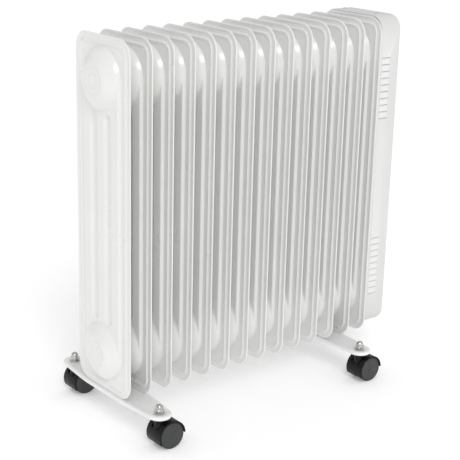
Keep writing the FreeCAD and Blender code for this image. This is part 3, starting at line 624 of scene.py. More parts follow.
@dataclass
class FinPressing:
    """One fin: two pressed sheets with three oil channels, two header domes and a rolled rim.

    Attributes:
        corner: Radius of the outline's corners.
        header_inset: From the fin's top or foot to a header's axis.
        hem: Half the thickness of the folded rim.
        channel_rise: Height of the channels over the fin's middle plane.
        channel_edge: Half the width of the channels' panel.
        valley: From the fin's middle line to the bottom of a valley between channels.
        valley_gap: From a header's axis to the nearer end of a valley.
        ridge_inset: From the outline to the small ridge that runs round the fin.
        ridge_rise: Height of that ridge.
        round_part: Size up to which the grid's rings about a header are circles.
        square_part: Size from which they are squares.
        inner_round: The first of these sizes on the channels' side.
        inner_square: The second of these sizes on the channels' side.
        crest_in: From the panel's edge in to its full height.
        crest_out: From the panel's edge out to the flat sheet.
        groove: Half widths of a valley at its bottom and at the channels' crest.
        ridge_half: Half width of the small ridge.
        rim_slope: From the outline to the start and the end of the pressed forms' rise.
        ring_radii: Radii of the two rings in the closed domes.
        ring_line: Half widths of such a ring at its full depth and at its edge.
        ring_depth: Depth of the rings.
        blend: How softly a channel runs into a dome.
        dome_reach: Radius at which the dome's curve ends.
        hem_reach: Distance from the outline at which the rim's curve ends.
        weld: Points nearer than this are joined where the two sheets meet.
        dome_curve: Radius, and share of the dome's height there.
        hem_curve: Distance from the outline, and share of the rim's thickness there.
    """

    corner: float = 28.0
    header_inset: float = 68.0
    hem: float = 1.2
    channel_rise: float = 5.5
    channel_edge: float = 49.8
    valley: float = 19.5
    valley_gap: float = 60.0
    ridge_inset: float = 12.5
    ridge_rise: float = 1.8
    round_part: float = 52.5
    square_part: float = 55.0
    inner_round: float = 44.0
    inner_square: float = 47.5
    crest_in: float = 1.9
    crest_out: float = 1.7
    groove: tuple[float, float] = (4.8, 10.2)
    ridge_half: float = 3.6
    rim_slope: tuple[float, float] = (5.5, 9.0)
    ring_radii: tuple[float, float] = (21.5, 12.0)
    ring_line: tuple[float, float] = (0.4, 2.4)
    ring_depth: float = 0.9
    blend: float = 1.6
    dome_reach: float = 60.0
    hem_reach: float = 8.0
    weld: float = 0.002
    dome_curve: tuple[tuple[float, float], ...] = (
        (0, 1), (24.5, 1), (27, 0.985), (30, 0.93), (35, 0.8), (40, 0.65), (44.5, 0.49),
        (47.2, 0.36), (49, 0.19), (50.3, 0.04), (52, 0), (60, 0))
    hem_curve: tuple[tuple[float, float], ...] = (
        (0, 0), (0.06, 0.32), (0.2, 0.55), (0.45, 0.78), (0.8, 0.94), (1.2, 1), (3.8, 1),
        (4.6, 0.5), (8, 0.5))

    def lines(self) -> np.ndarray:
        """Grid lines about a header, dense where the pressing bends."""
        return np.array([
            0, 4, 8, 10, 12, 13.5, 15, 17, 19.5, 22, 24, 25.5, 27, 28.5, 30, 31, 32, 33, 34.5, 37,
            40, 42, 43.3, 44, 44.7, 45.4, 46.1, 46.8, 47.5, 48.2, 49, 50, 51, 51.8,
            self.round_part, 53, 53.5, 54, 54.5, self.square_part])

    def edge_lines(self, reach: float) -> np.ndarray:
        """Grid lines from the square around a header out to the fin's edge."""
        from_edge = np.array([17.5, 15.5, 14, 13, 12.2, 11.5, 10.8, 10, 9, 7.5, 5.4, 4.6, 4.2, 3.8,
                              1.8, 1.2, 0.8, 0.45, 0.2, 0.06, 0.0])
        lines = reach - from_edge
        return lines[lines > self.square_part + 0.2]

    def flat_sheet(self, half_depth: float, middle: float, half_height: float) -> bpy.types.Object:
        """Lay out the flat sheet whose grid runs in rings round both headers.

        Args:
            half_depth: Half the fin's size along Y.
            middle: Height of the fin's middle.
            half_height: Half the fin's height.

        Returns:
            A flat mesh in the plane x = 0, facing +X.
        """
        reach = half_height - self.header_inset
        near = self.lines()
        side = np.concatenate([near, self.edge_lines(half_depth)])
        across = np.concatenate([-side[:0:-1], side])
        shank = np.array([57, 59, 61.5, 64, 68, 75, 90, 110, 135, 160, 185, 205])
        above = np.concatenate([near, self.edge_lines(self.header_inset)])
        upper = np.concatenate([[0.0], reach - shank[::-1], reach - near[:0:-1], reach + above])
        along = np.concatenate([-upper[:0:-1], upper])
        y, z = np.meshgrid(across, along, indexing="ij")
        y, z = self.round_corners(y, z, half_depth, half_height)
        y, z = self.ring_headers(y, z, reach)
        points = np.stack([np.zeros(y.size), y.ravel(), z.ravel() + middle], axis=1)
        rows, columns = y.shape
        first = (np.arange(rows - 1)[:, None] * columns + np.arange(columns - 1)).ravel()
        quads = np.stack([first, first + columns, first + columns + 1, first + 1], axis=1)
        mesh = bpy.data.meshes.new("flat_sheet")
        mesh.from_pydata((points * MM).tolist(), [], quads.tolist())
        return add_object("flat_sheet", mesh)

    def round_corners(self, y: np.ndarray, z: np.ndarray, half_depth: float,
                      half_height: float) -> tuple[np.ndarray, np.ndarray]:
        """Bend the grid's square corners onto the fin's corner arcs."""
        a = np.clip((np.abs(y) - (half_depth - self.corner)) / self.corner, 0, None)
        b = np.clip((np.abs(z) - (half_height - self.corner)) / self.corner, 0, None)
        new_y = np.abs(y) + self.corner * a * (np.sqrt(1 - b * b / 2) - 1)
        new_z = np.abs(z) + self.corner * b * (np.sqrt(1 - a * a / 2) - 1)
        return np.sign(y) * new_y, np.sign(z) * new_z

    def ring_headers(self, y: np.ndarray, z: np.ndarray,
                     reach: float) -> tuple[np.ndarray, np.ndarray]:
        """Bend the squares about each header into circles, smaller ones on the channels' side."""
        up = np.abs(z) - reach
        square = np.maximum(np.abs(y), np.abs(up))
        distance = np.maximum(np.hypot(y, up), 1e-9)
        whole = np.where(up > 0, self.round_part, self.inner_round)
        none = np.where(up > 0, self.square_part, self.inner_square)
        weight = np.clip((none - square) / (none - whole), 0, 1)
        factor = 1 + weight * (square / distance - 1)
        return y * factor, np.sign(z) * (reach + up * factor)

    def press_tree(self) -> tuple[bpy.types.NodeTree, dict[str, str]]:
        """Geometry Nodes that press the flat sheet and weld it to its mirror image.

        Returns:
            The tree, and the identifier of each named input.
        """
        sizes = ("Side", "End", "Corner", "Middle", "Reach", "Valley", "Valley End", "Rise",
                 "Edge", "Dome", "Ridge Inset", "Ridge Rise", "Rings", "Place")
        tree, names = new_tree("press_fin", {**dict.fromkeys(sizes, "Float"), "Finish": "Material"})
        given = add_node(tree, "NodeGroupInput").outputs
        where = add_node(tree, "GeometryNodeInputPosition")
        split = add_node(tree, "ShaderNodeSeparateXYZ", None, {0: where.outputs[0]})
        value = {"y": split.outputs[1], "z": split.outputs[2]}
        value.update({name: given[name] for name in sizes})

        steps = [
            ("across_m", "ABSOLUTE", "y"), ("across", "MULTIPLY", "across_m", 1 / MM),
            ("z_mm", "MULTIPLY", "z", 1 / MM), ("rise_z", "SUBTRACT", "z_mm", "Middle"),
            ("along", "ABSOLUTE", "rise_z"),
            # distance in from the fin's outline
            ("side_flat", "SUBTRACT", "Side", "Corner"), ("end_flat", "SUBTRACT", "End", "Corner"),
            ("side_over", "SUBTRACT", "across", "side_flat"),
            ("end_over", "SUBTRACT", "along", "end_flat"),
            ("side_out", "MAXIMUM", "side_over", 0.0), ("end_out", "MAXIMUM", "end_over", 0.0),
            ("side_square", "MULTIPLY", "side_out", "side_out"),
            ("out_square", "MULTIPLY_ADD", "end_out", "end_out", "side_square"),
            ("out", "SQRT", "out_square"), ("most", "MAXIMUM", "side_over", "end_over"),
            ("within", "MINIMUM", "most", 0.0), ("past", "ADD", "out", "within"),
            ("inset", "SUBTRACT", "Corner", "past"),
            # distance from the nearer header's axis
            ("from_head", "SUBTRACT", "along", "Reach"),
            ("head_square", "MULTIPLY", "from_head", "from_head"),
            ("radius_square", "MULTIPLY_ADD", "across", "across", "head_square"),
            ("radius", "SQRT", "radius_square"),
            # distance from the line between the headers, which ends the channels in half circles
            ("head_past", "MAXIMUM", "from_head", 0.0),
            ("across_square", "MULTIPLY", "across", "across"),
            ("panel_square", "MULTIPLY_ADD", "head_past", "head_past", "across_square"),
            ("panel_way", "SQRT", "panel_square"),
            # distance from the line down the middle of a valley between two channels
            ("valley_side", "SUBTRACT", "across", "Valley"),
            ("valley_past", "SUBTRACT", "along", "Valley End"),
            ("valley_over", "MAXIMUM", "valley_past", 0.0),
            ("valley_square", "MULTIPLY", "valley_over", "valley_over"),
            ("valley_sum", "MULTIPLY_ADD", "valley_side", "valley_side", "valley_square"),
            ("valley_way", "SQRT", "valley_sum"),
            ("crest_in", "SUBTRACT", "Edge", self.crest_in),
            ("crest_out", "ADD", "Edge", self.crest_out),
            ("ridge_off", "SUBTRACT", "inset", "Ridge Inset"),
            ("ridge_way", "ABSOLUTE", "ridge_off"),
            ("ring_off", "SUBTRACT", "radius", self.ring_radii[0]),
            ("ring_way", "ABSOLUTE", "ring_off"),
            ("eye_off", "SUBTRACT", "radius", self.ring_radii[1]),
            ("eye_way", "ABSOLUTE", "eye_off"),
            # how much of each pressed form a place has, from 0 to 1
            ("plateau", "EASE", "panel_way", "crest_in", "crest_out", 1.0, 0.0),
            ("groove", "EASE", "valley_way", *self.groove, 0.0, 1.0),
            ("ridge", "EASE", "ridge_way", 0.0, self.ridge_half, 1.0, 0.0),
            ("inner", "EASE", "inset", *self.rim_slope, 0.0, 1.0),
            ("ring", "EASE", "ring_way", *self.ring_line, 1.0, 0.0),
            ("eye", "EASE", "eye_way", *self.ring_line, 1.0, 0.0),
            ("dome_share", "CURVE", "radius", self.dome_reach, self.dome_curve),
            ("hem_share", "CURVE", "inset", self.hem_reach, self.hem_curve),
            # heights above the fin's middle plane
            ("hem_mm", "MULTIPLY", "hem_share", self.hem),
            ("channel", "MULTIPLY", "plateau", "groove"),
            ("channel_mm", "MULTIPLY", "channel", "Rise"),
            ("dome_mm", "MULTIPLY", "dome_share", "Dome"),
            ("raised", "SMOOTH_MAX", "channel_mm", "dome_mm", self.blend),
            ("pressed", "MULTIPLY", "raised", "inner"), ("sheet", "MAXIMUM", "pressed", "hem_mm"),
            ("height", "MULTIPLY_ADD", "ridge", "Ridge Rise", "sheet"),
            ("front", "MULTIPLY", "height", MM),
            ("marks", "ADD", "ring", "eye"), ("mark_mm", "MULTIPLY", "marks", "Rings"),
            ("back_mm", "SUBTRACT", "mark_mm", "height"),
            ("back", "MULTIPLY", "back_mm", MM), ("place_m", "MULTIPLY", "Place", MM),
        ]
        for name, operation, *terms in steps:
            terms = [value.get(term, term) if isinstance(term, str) else term for term in terms]
            if operation == "EASE":
                ends = ("Value", "From Min", "From Max", "To Min", "To Max")
                node = add_node(tree, "ShaderNodeMapRange", {"interpolation_type": "SMOOTHSTEP"},
                                dict(zip(ends, terms)))
            elif operation == "CURVE":
                source, span, knots = terms
                share = add_node(tree, "ShaderNodeMath", {"operation": "DIVIDE"},
                                 {0: source, 1: span})
                node = add_node(tree, "ShaderNodeFloatCurve", None, {"Value": share.outputs[0]})
                points = node.mapping.curves[0].points
                points[0].location = (knots[0][0] / span, knots[0][1])
                points[1].location = (knots[-1][0] / span, knots[-1][1])
                for at, height in knots[1:-1]:
                    points.new(at / span, height)
                for point in points:
                    point.handle_type = "AUTO_CLAMPED"
                node.mapping.update()
            else:
                node = add_node(tree, "ShaderNodeMath", {"operation": operation},
                                dict(enumerate(terms)))
            value[name] = node.outputs[0]
        sides = []
        for way in ("front", "back"):
            move = add_node(tree, "ShaderNodeCombineXYZ", None, {0: value[way]})
            side = add_node(tree, "GeometryNodeSetPosition", None, {
                "Geometry": given["Geometry"], "Offset": move.outputs[0]})
            sides.append(side.outputs[0])
        turned = add_node(tree, "GeometryNodeFlipFaces", None, {0: sides[1]})
        pair = add_node(tree, "GeometryNodeJoinGeometry", None, {0: sides[0]})
        tree.links.new(turned.outputs[0], pair.inputs[0])
        welded = add_node(tree, "GeometryNodeMergeByDistance", None, {
            "Geometry": pair.outputs[0], "Distance": self.weld * MM})
        offset = add_node(tree, "ShaderNodeCombineXYZ", None, {0: value["place_m"]})
        placed = add_node(tree, "GeometryNodeTransform", None, {
            "Geometry": welded.outputs[0], "Translation": offset.outputs[0]})
        real = add_node(tree, "GeometryNodeRealizeInstances", None, {0: placed.outputs[0]})
        dressed = add_node(tree, "GeometryNodeSetMaterial", None, {
            "Geometry": real.outputs[0], "Material": given["Finish"]})
        add_node(tree, "NodeGroupOutput", None, {0: dressed.outputs[0]})
        return tree, names


@dataclass
class FinRow:
    """The fourteen fins."""

    pressing: FinPressing

    def build(self, dresser: Dresser) -> None:
        """Press every fin where its frame node stands.

        Args:
            dresser: Gives the finish and hands the pieces over.
        """
        nodes = sorted(name for name in frame["nodes"] if name.startswith("fin_"))
        low, high = node_box(nodes[0])
        half_depth, half_height = (high[1] - low[1]) / 2, (high[2] - low[2]) / 2
        middle = (high[2] + low[2]) / 2
        reach = half_height - self.pressing.header_inset
        sheet = self.pressing.flat_sheet(half_depth, middle, half_height)
        tree, names = self.pressing.press_tree()
        for number, node in enumerate(nodes):
            low, high = node_box(node)
            worker = sheet.copy()
            bpy.context.scene.collection.objects.link(worker)
            modifier = worker.modifiers.new("press", "NODES")
            modifier.node_group = tree
            settings = {
                "Side": half_depth, "End": half_height, "Corner": self.pressing.corner,
                "Middle": middle, "Reach": reach, "Valley": self.pressing.valley,
                "Valley End": reach - self.pressing.valley_gap, "Rise": self.pressing.channel_rise,
                "Edge": self.pressing.channel_edge, "Dome": (high[0] - low[0]) / 2,
                "Ridge Inset": self.pressing.ridge_inset, "Ridge Rise": self.pressing.ridge_rise,
                "Rings": self.pressing.ring_depth if number == 0 else 0.0,
                "Place": (low[0] + high[0]) / 2,
                "Finish": dresser.material(FIN_ENAMEL)}
            for name, setting in settings.items():
                modifier[names[name]] = setting
            fin = settle(worker, f"pressed_{node}")
            smooth(fin.data, 50.0)
            dresser.hand_over(fin, "root", FIN_ENAMEL, [node])
        bpy.data.objects.remove(sheet)


# ---- feet and their hardware ----------------------------------------------------------------

@dataclass
class Foot:
    """Pressed cross foot: a shallow tray with rounded shoulders and a sunk middle."""

    node: str
    pad_radius: float = 19.0
    shoulder: float = 50.0
    plate: float = 1.5
    edge_round: float = 1.6
    sink: float = 1.1

    def outline(self, inset: float) -> np.ndarray:
        """Outline of the foot, moved in by an inset.

        Args:
            inset: Distance inside the foot's outer edge.

        Returns:
            Points round the foot, X and Y, the same number for every inset.
        """
        low, high = node_box(self.node)
        centre_x = (low[0] + high[0]) / 2
        waist, stem_y = (high[0] - low[0]) / 2, high[1] - self.pad_radius
        start = math.atan2(waist - self.pad_radius, stem_y - self.shoulder) * 0.9
        arc = np.linspace(start, math.pi - start, 29)
        pad = np.stack([self.pad_radius * np.cos(arc), stem_y + self.pad_radius * np.sin(arc)],
                       axis=1)
        run = np.linspace(-1, 1, 41)[1:-1]
        reach = pad[0][1] * run
        share = np.clip((np.abs(reach) - self.shoulder) / (pad[0][1] - self.shoulder), 0, 1)
        half = waist - (waist - pad[0][0]) * share ** 1.15
        right = np.stack([half, reach], axis=1)
        left = np.stack([-half[::-1], reach[::-1]], axis=1)
        ring = np.concatenate([right, pad, left, -pad])
        ahead, behind = np.roll(ring, -1, axis=0), np.roll(ring, 1, axis=0)
        way = ahead - behind
        normal = np.stack([way[:, 1], -way[:, 0]], axis=1)
        normal /= np.linalg.norm(normal, axis=1)[:, None]
        return ring - normal * inset + np.array([centre_x, 0.0])

    def build(self, dresser: Dresser) -> None:
        """Press the tray and hand it over."""
        low, high = node_box(self.node)
        top, bottom, turn = high[2], low[2], self.edge_round
        steps = [(0.35, bottom), (0.0, bottom + 0.3), (0.0, top - turn)]
        for angle in np.radians([22.5, 45, 67.5, 90]):
            steps.append((turn * (1 - math.cos(angle)), top - turn * (1 - math.sin(angle))))
        steps += [(6.5, top), (7.4, top - self.sink * 0.15), (8.6, top - self.sink * 0.85),
                  (9.5, top - self.sink), (11.0, top - self.sink)]
        under = [(0.75, bottom), (self.plate, bottom + 0.3), (self.plate, top - self.plate - 2.2),
                 (self.plate + 1.2, top - self.plate - self.sink),
                 (11.0, top - self.plate - self.sink)]
        shell = Shell()
        upper, lower = ([lay_flat(self.outline(inset), z) for inset, z in rings]
                        for rings in (steps, under))
        shell.skin(lower[::-1] + upper, start_cap=False, end_cap=False)
        self.close_across(shell, upper[-1])
        self.close_across(shell, lower[-1])
        piece = shell.build(f"pressed_{self.node}", 40.0)
        dresser.hand_over(piece, "root", FOOT_COAT, [self.node])

    def close_across(self, shell: Shell, loop: np.ndarray) -> None:
        """Fill a loop with quads that run straight across the foot."""
        order = np.roll(np.arange(len(loop)), -int(np.argmax(loop[:, 1])))
        half = len(loop) // 2
        numbers = shell.add_points(loop)
        one = [numbers[n] for n in order[:half + 1]]
        other = [numbers[n] for n in np.concatenate([order[:1], order[:half - 1:-1]])]
        for n in range(min(len(one), len(other)) - 1):
            face = tuple(dict.fromkeys((one[n], one[n + 1], other[n + 1], other[n])))
            if len(face) > 2:
                shell.faces.append(face)


@dataclass
class StemHardware:
    """Dome nuts, washers and wing nuts."""

    flats: float = 13.0
    hex_high: float = 5.4
    nut_trim: float = 1.6
    washer_radius: float = 8.75
    leg_radius: float = 2.5
    points_round: int = 72

    def places(self, node: str, reach: float) -> list[tuple[float, float, float]]:
        """Stem or leg positions, from the box of a node whose pieces stand at the corners.

        Args:
            node: Frame node with four pieces in it.
            reach: Distance from a piece's axis to the box's edge along Y.

        Returns:
            Four points at the node's underside.
        """
        low, high = node_box(node)
        front, rear = node_box("front_foot"), node_box("rear_foot")
        rows = [(low_x + high_x) / 2 for low_x, high_x in
                ((front[0][0], front[1][0]), (rear[0][0], rear[1][0]))]
        return [(x, side * (high[1] - reach), low[2]) for x in rows for side in (-1, 1)]

    def dome_nut(self, height: float) -> bpy.types.Object:
        """Cap nut with a chamfered hexagon and a polished dome.

        Args:
            height: Height of the nut.

        Returns:
            The nut about the origin, on z = 0.
        """
        turns = np.arange(self.points_round) * math.tau / self.points_round
        circle = np.stack([np.cos(turns), np.sin(turns)], axis=1)
        flat = self.flats / 2 / np.cos((turns + math.pi / 6) % (math.pi / 3) - math.pi / 6)
        dome = self.flats / 2 - 0.1
        levels = [(0.0, 6.6), (0.35, 7.6), (self.hex_high - 0.9, 7.6), (self.hex_high - 0.25, 6.9),
                  (self.hex_high, 6.5), (self.hex_high + 0.1, 5.8), (self.hex_high + 0.5, 5.8),
                  (height - dome - 0.4, dome - 0.2), (height - dome, dome)]
        loops = []
        for up, limit in levels:
            radius = np.minimum(flat, limit) if up <= self.hex_high else np.full(len(flat), limit)
            loops.append(lay_flat(circle * radius[:, None], up))
        for angle in np.radians(np.arange(12, 90, 12)):
            up = height - dome + dome * math.sin(angle)
            loops.append(lay_flat(circle * (dome * math.cos(angle)), up))
        shell = Shell()
        shell.skin(loops)
        return shell.build("dome_nut", 28.0)

    def wing_nut(self) -> bpy.types.Object:
        """Stamped wing nut that hangs under the foot, its top on z = 0."""
        shell = Shell()
        bore, hub = self.leg_radius, self.leg_radius + 2.5
        shell.lathe([(bore, 0), (hub - 0.4, 0), (hub, -0.4), (hub - 0.4, -5), (bore, -5),
                     (bore, 0)], (0, 0, 0), Axis.Z, 40)
        for side in (-1, 1):
            spine = [(3.2, -3.0, 2.0), (6.0, -4.6, 2.6), (8.6, -7.0, 3.1), (10.2, -8.6, 2.2),
                     (10.9, -9.4, 0.5)]
            turns = np.arange(20) * math.tau / 20
            loops = []
            for out, up, size in spine:
                loops.append(np.column_stack([side * (out + np.cos(turns) * size * 0.35),
                                              np.sin(turns) * 0.9, up + np.cos(turns) * size]))
            shell.skin(loops)
        return shell.build("wing_nut", 40.0)

    def build(self, dresser: Dresser, repeater: Repeater) -> None:
        """Set the hardware out at the stems and under the U-bolts."""
        nickel, zinc = dresser.material(NICKEL_PLATE), dresser.material(ZINC_PLATE)
        stems = self.places("nut_washers", self.washer_radius)
        turns = [(0, 0, math.radians(angle)) for angle in (12, 31, 5, 44)]
        low, high = node_box("dome_nuts")
        nuts = repeater.set_out("cap_nuts", self.dome_nut(high[2] - low[2] - self.nut_trim), nickel,
                                [(x, y, low[2]) for x, y, _ in stems], turns)
        smooth(nuts.data, 28.0)
        dresser.hand_over(nuts, "root", NICKEL_PLATE, ["dome_nuts"])
        ring = Shell()
        rim = self.washer_radius
        ring.lathe([(4.0, 0), (rim - 0.3, 0), (rim, 0.3), (rim, 1.1), (rim - 0.5, 1.5), (4.0, 1.5),
                    (4.0, 0)], (0, 0, 0), Axis.Z, 56)
        washers = repeater.set_out("plain_washers", ring.build("washer"), nickel, stems)
        dresser.hand_over(washers, "root", NICKEL_PLATE, ["nut_washers"])
        legs = self.places("wing_nuts", self.leg_radius + 2.5)
        top = node_box("wing_nuts")[1][2]
        wings = repeater.set_out("stamped_wing_nuts", self.wing_nut(), zinc,
                                 [(x, y, top) for x, y, _ in legs],
                                 [(0, 0, math.radians(angle)) for angle in (8, -15, 3, 20)])
        dresser.hand_over(wings, "root", ZINC_PLATE, ["wing_nuts"])


# ---- casters --------------------------------------------------------------------------------

@dataclass
class Caster:
    """Twin-wheel caster: hood, and a wheel on each side of its web."""

    corner: str
    trail: float = 13.0
    hood_wall: float = 2.3
    web_half: float = 5.5
    boss_radius: float = 8.5
    bore: float = 3.05

    def centre(self) -> tuple[np.ndarray, float]:
        """Middle of the wheel pair and the wheels' radius."""
        low, high = node_box(f"{self.corner}_outer_wheel")
        hood_low, hood_high = node_box(f"{self.corner}_caster_hood")
        radius = (high[2] - low[2]) / 2
        middle = ((low[0] + high[0]) / 2, (hood_low[1] + hood_high[1]) / 2, low[2] + radius)
        return np.array(middle), radius

    def band(self, half: float, inner: float, outer: float, start: float, end: float,
             centre: np.ndarray, steps: int = 52) -> list[np.ndarray]:
        """Loops of a rounded band bent about the wheel axle.

        Args:
            half: Half its width along Y.
            inner: Inner radius.
            outer: Outer radius.
            start: First angle in degrees, 0 towards +X and 90 upwards.
            end: Last angle.
            centre: Middle of the wheel pair.
            steps: Number of loops.

        Returns:
            One loop for each angle.
        """
        bend = min(0.55, (outer - inner) * 0.45)
        section = []
        for across, radius, turn in ((half, inner, -90), (half, outer, 0), (-half, outer, 90),
                                     (-half, inner, 180)):
            y0 = across - math.copysign(bend, across)
            r0 = radius + (bend if radius == inner else -bend)
            for angle in np.radians(np.linspace(turn, turn + 90, 5)):
                section.append((y0 + bend * math.cos(angle), r0 + bend * math.sin(angle)))
        section = np.array(section)
        loops = []
        for angle in np.radians(np.linspace(start, end, steps)):
            loops.append(np.column_stack([section[:, 1] * math.cos(angle), section[:, 0],
                                          section[:, 1] * math.sin(angle)]) + centre)
        return loops

    def hood(self, dresser: Dresser) -> None:
        """Mould the hood: fender, web and stem boss, with a notch in front of the stem."""
        centre = self.centre()[0]
        low, high = node_box(f"{self.corner}_caster_hood")
        outer, half = (high[0] - low[0]) / 2, (high[1] - low[1]) / 2
        fender = Shell()
        fender.skin(self.band(half, outer - self.hood_wall, outer, 2, 208, centre))
        piece = fender.build(f"{self.corner}_moulded_hood")
        stem = centre + np.array([-self.trail, 0, 0])
        notch = Shell()
        across = self.boss_radius + 1.2
        notch.block(stem + (-30, -across, 12.5), stem + (0.5, across, 60))
        piece = carve(piece, notch.build("notch"), Carving.CUT)
        web = Shell()
        turns = np.radians(np.arange(0, 360, 5))
        reach = np.where((turns < math.radians(206)), outer - 0.9, outer - 6.0)
        loops = []
        for depth, trim in ((-self.web_half, 0.6), (-self.web_half + 0.6, 0.0),
                            (self.web_half - 0.6, 0.0), (self.web_half, 0.6)):
            away = reach - trim
            loops.append(np.column_stack([away * np.cos(turns), np.full(len(turns), depth),
                                          away * np.sin(turns)]) + centre)
        web.skin(loops)
        wall = web.build("web")
        room = Shell()
        room.block(stem + (-30, -20, 13.5), stem + (-self.boss_radius + 1.0, 20, 60))
        wall = carve(wall, room.build("room"), Carving.CUT)
        piece = carve(piece, wall, Carving.FUSE)
        boss = Shell()
        top = high[2] - stem[2]
        boss.lathe([(0, 8), (self.boss_radius, 8), (self.boss_radius, top - 3.2),
                    (self.boss_radius - 0.9, top - 2.8), (self.boss_radius - 0.9, top - 0.5),
                    (self.boss_radius - 1.4, top), (0, top)], stem, Axis.Z, 48)
        piece = carve(piece, boss.build("boss"), Carving.FUSE)
        dresser.hand_over(piece, f"{self.corner}_caster", HOOD_NYLON,
                          [f"{self.corner}_caster_hood"])

    def wheel(self, which: str, dresser: Dresser) -> None:
        """Mould one wheel: a tread ring drawn black as a painted shadow of the gap under the hood's
        lip, a shallow groove inside it and a recessed grey face.

        Args:
            which: outer or inner, seen from the heater's middle.
            dresser: Gives the finishes and hands the piece over.
        """
        node = f"{self.corner}_{which}_wheel"
        centre, radius = self.centre()
        low, high = node_box(node)
        away = 1 if (low[1] + high[1]) / 2 > centre[1] else -1
        near, far = sorted(abs(np.array([low[1], high[1]]) - centre[1]))
        bore = self.bore
        profile = [
            (0, far - 0.9), (bore, far - 0.9), (bore, near), (6.2, near), (6.2, near + 4.5),
            (radius - 4.2, near + 4.5), (radius - 4.2, near + 0.4), (radius - 1.6, near),
            (radius - 0.45, near + 0.5), (radius - 0.05, near + 1.6), (radius, near + 4.5),
            (radius - 0.05, far - 2.9), (radius - 0.35, far - 2.0), (radius - 0.8, far - 1.45),
            (radius - 1.3, far - 1.2), (radius - 2.3, far - 1.2), (radius - 2.6, far - 1.5),
            (radius - 3.0, far - 1.5), (radius - 3.3, far - 1.25), (radius * 0.4, far - 1.45),
            (6.0, far - 1.3), (0, far - 1.25)]
        shell = Shell()
        shell.lathe([(r, along * away) for r, along in profile], centre, Axis.Y, 72)
        piece = shell.build(f"{node}_moulding", 32.0)
        piece.data.materials.append(dresser.material(WHEEL_NYLON))
        piece.data.materials.append(dresser.material(TREAD_PAINTED_SHADOW))
        # Painted shadow: the outer rim and the inner side take the black tread colour, which stands
        # for the dark gap under the hood's lip.
        for face in piece.data.polygons:
            spot = np.array(face.center) / MM - centre
            rim = math.hypot(spot[0], spot[2]) > radius - 1.5
            face.material_index = 1 if rim or abs(spot[1]) < near + 5 else 0
        dresser.hand_over(piece, node, WHEEL_NYLON, [node])

    def build(self, dresser: Dresser) -> None:
        """Mould the hood and both wheels, and dress the axle."""
        self.hood(dresser)
        for which in ("outer", "inner"):
            self.wheel(which, dresser)
        dresser.dress([f"{self.corner}_axle"], DRAWN_STEEL)


# ---- control box ----------------------------------------------------------------------------

@dataclass
class VentRows:
    """Two groups of slots down each long side of the cover, sloped to keep drips out."""

    start: float = 245.0
    long: float = 20.0
    wide: float = 2.5
    pitch: float = 11.9
    count: int = 10
    inner: float = 4.0
    lowest: tuple[float, float] = (132.0, 461.0)

    def cutter(self, half_depth: float, repeater: Repeater,
               material: bpy.types.Material) -> bpy.types.Object:
        """Slot shaped rods that run right through the cover.

        Args:
            half_depth: Half the cover's size along Y.
            repeater: Sets the rods out.
            material: Material of the slots' walls.

        Returns:
            The cutting tool.
        """
        rod = Shell()
        half = self.wide / 2
        outline = rounded_outline(self.long / 2, -half, half, half - 0.01, 6)
        reach = half_depth + 10
        rod.skin([np.column_stack([outline[:, 0], np.full(len(outline), y),
                                   outline[:, 1] + half_depth - abs(y)])
                  for y in (-reach, self.inner - half_depth, half_depth - self.inner, reach)])
        places = [(self.start + self.long / 2, 0.0, low + self.wide / 2 + self.pitch * n)
                  for low in self.lowest for n in range(self.count)]
        return repeater.set_out("slot_rods", rod.build("slot_rod"), material, places)


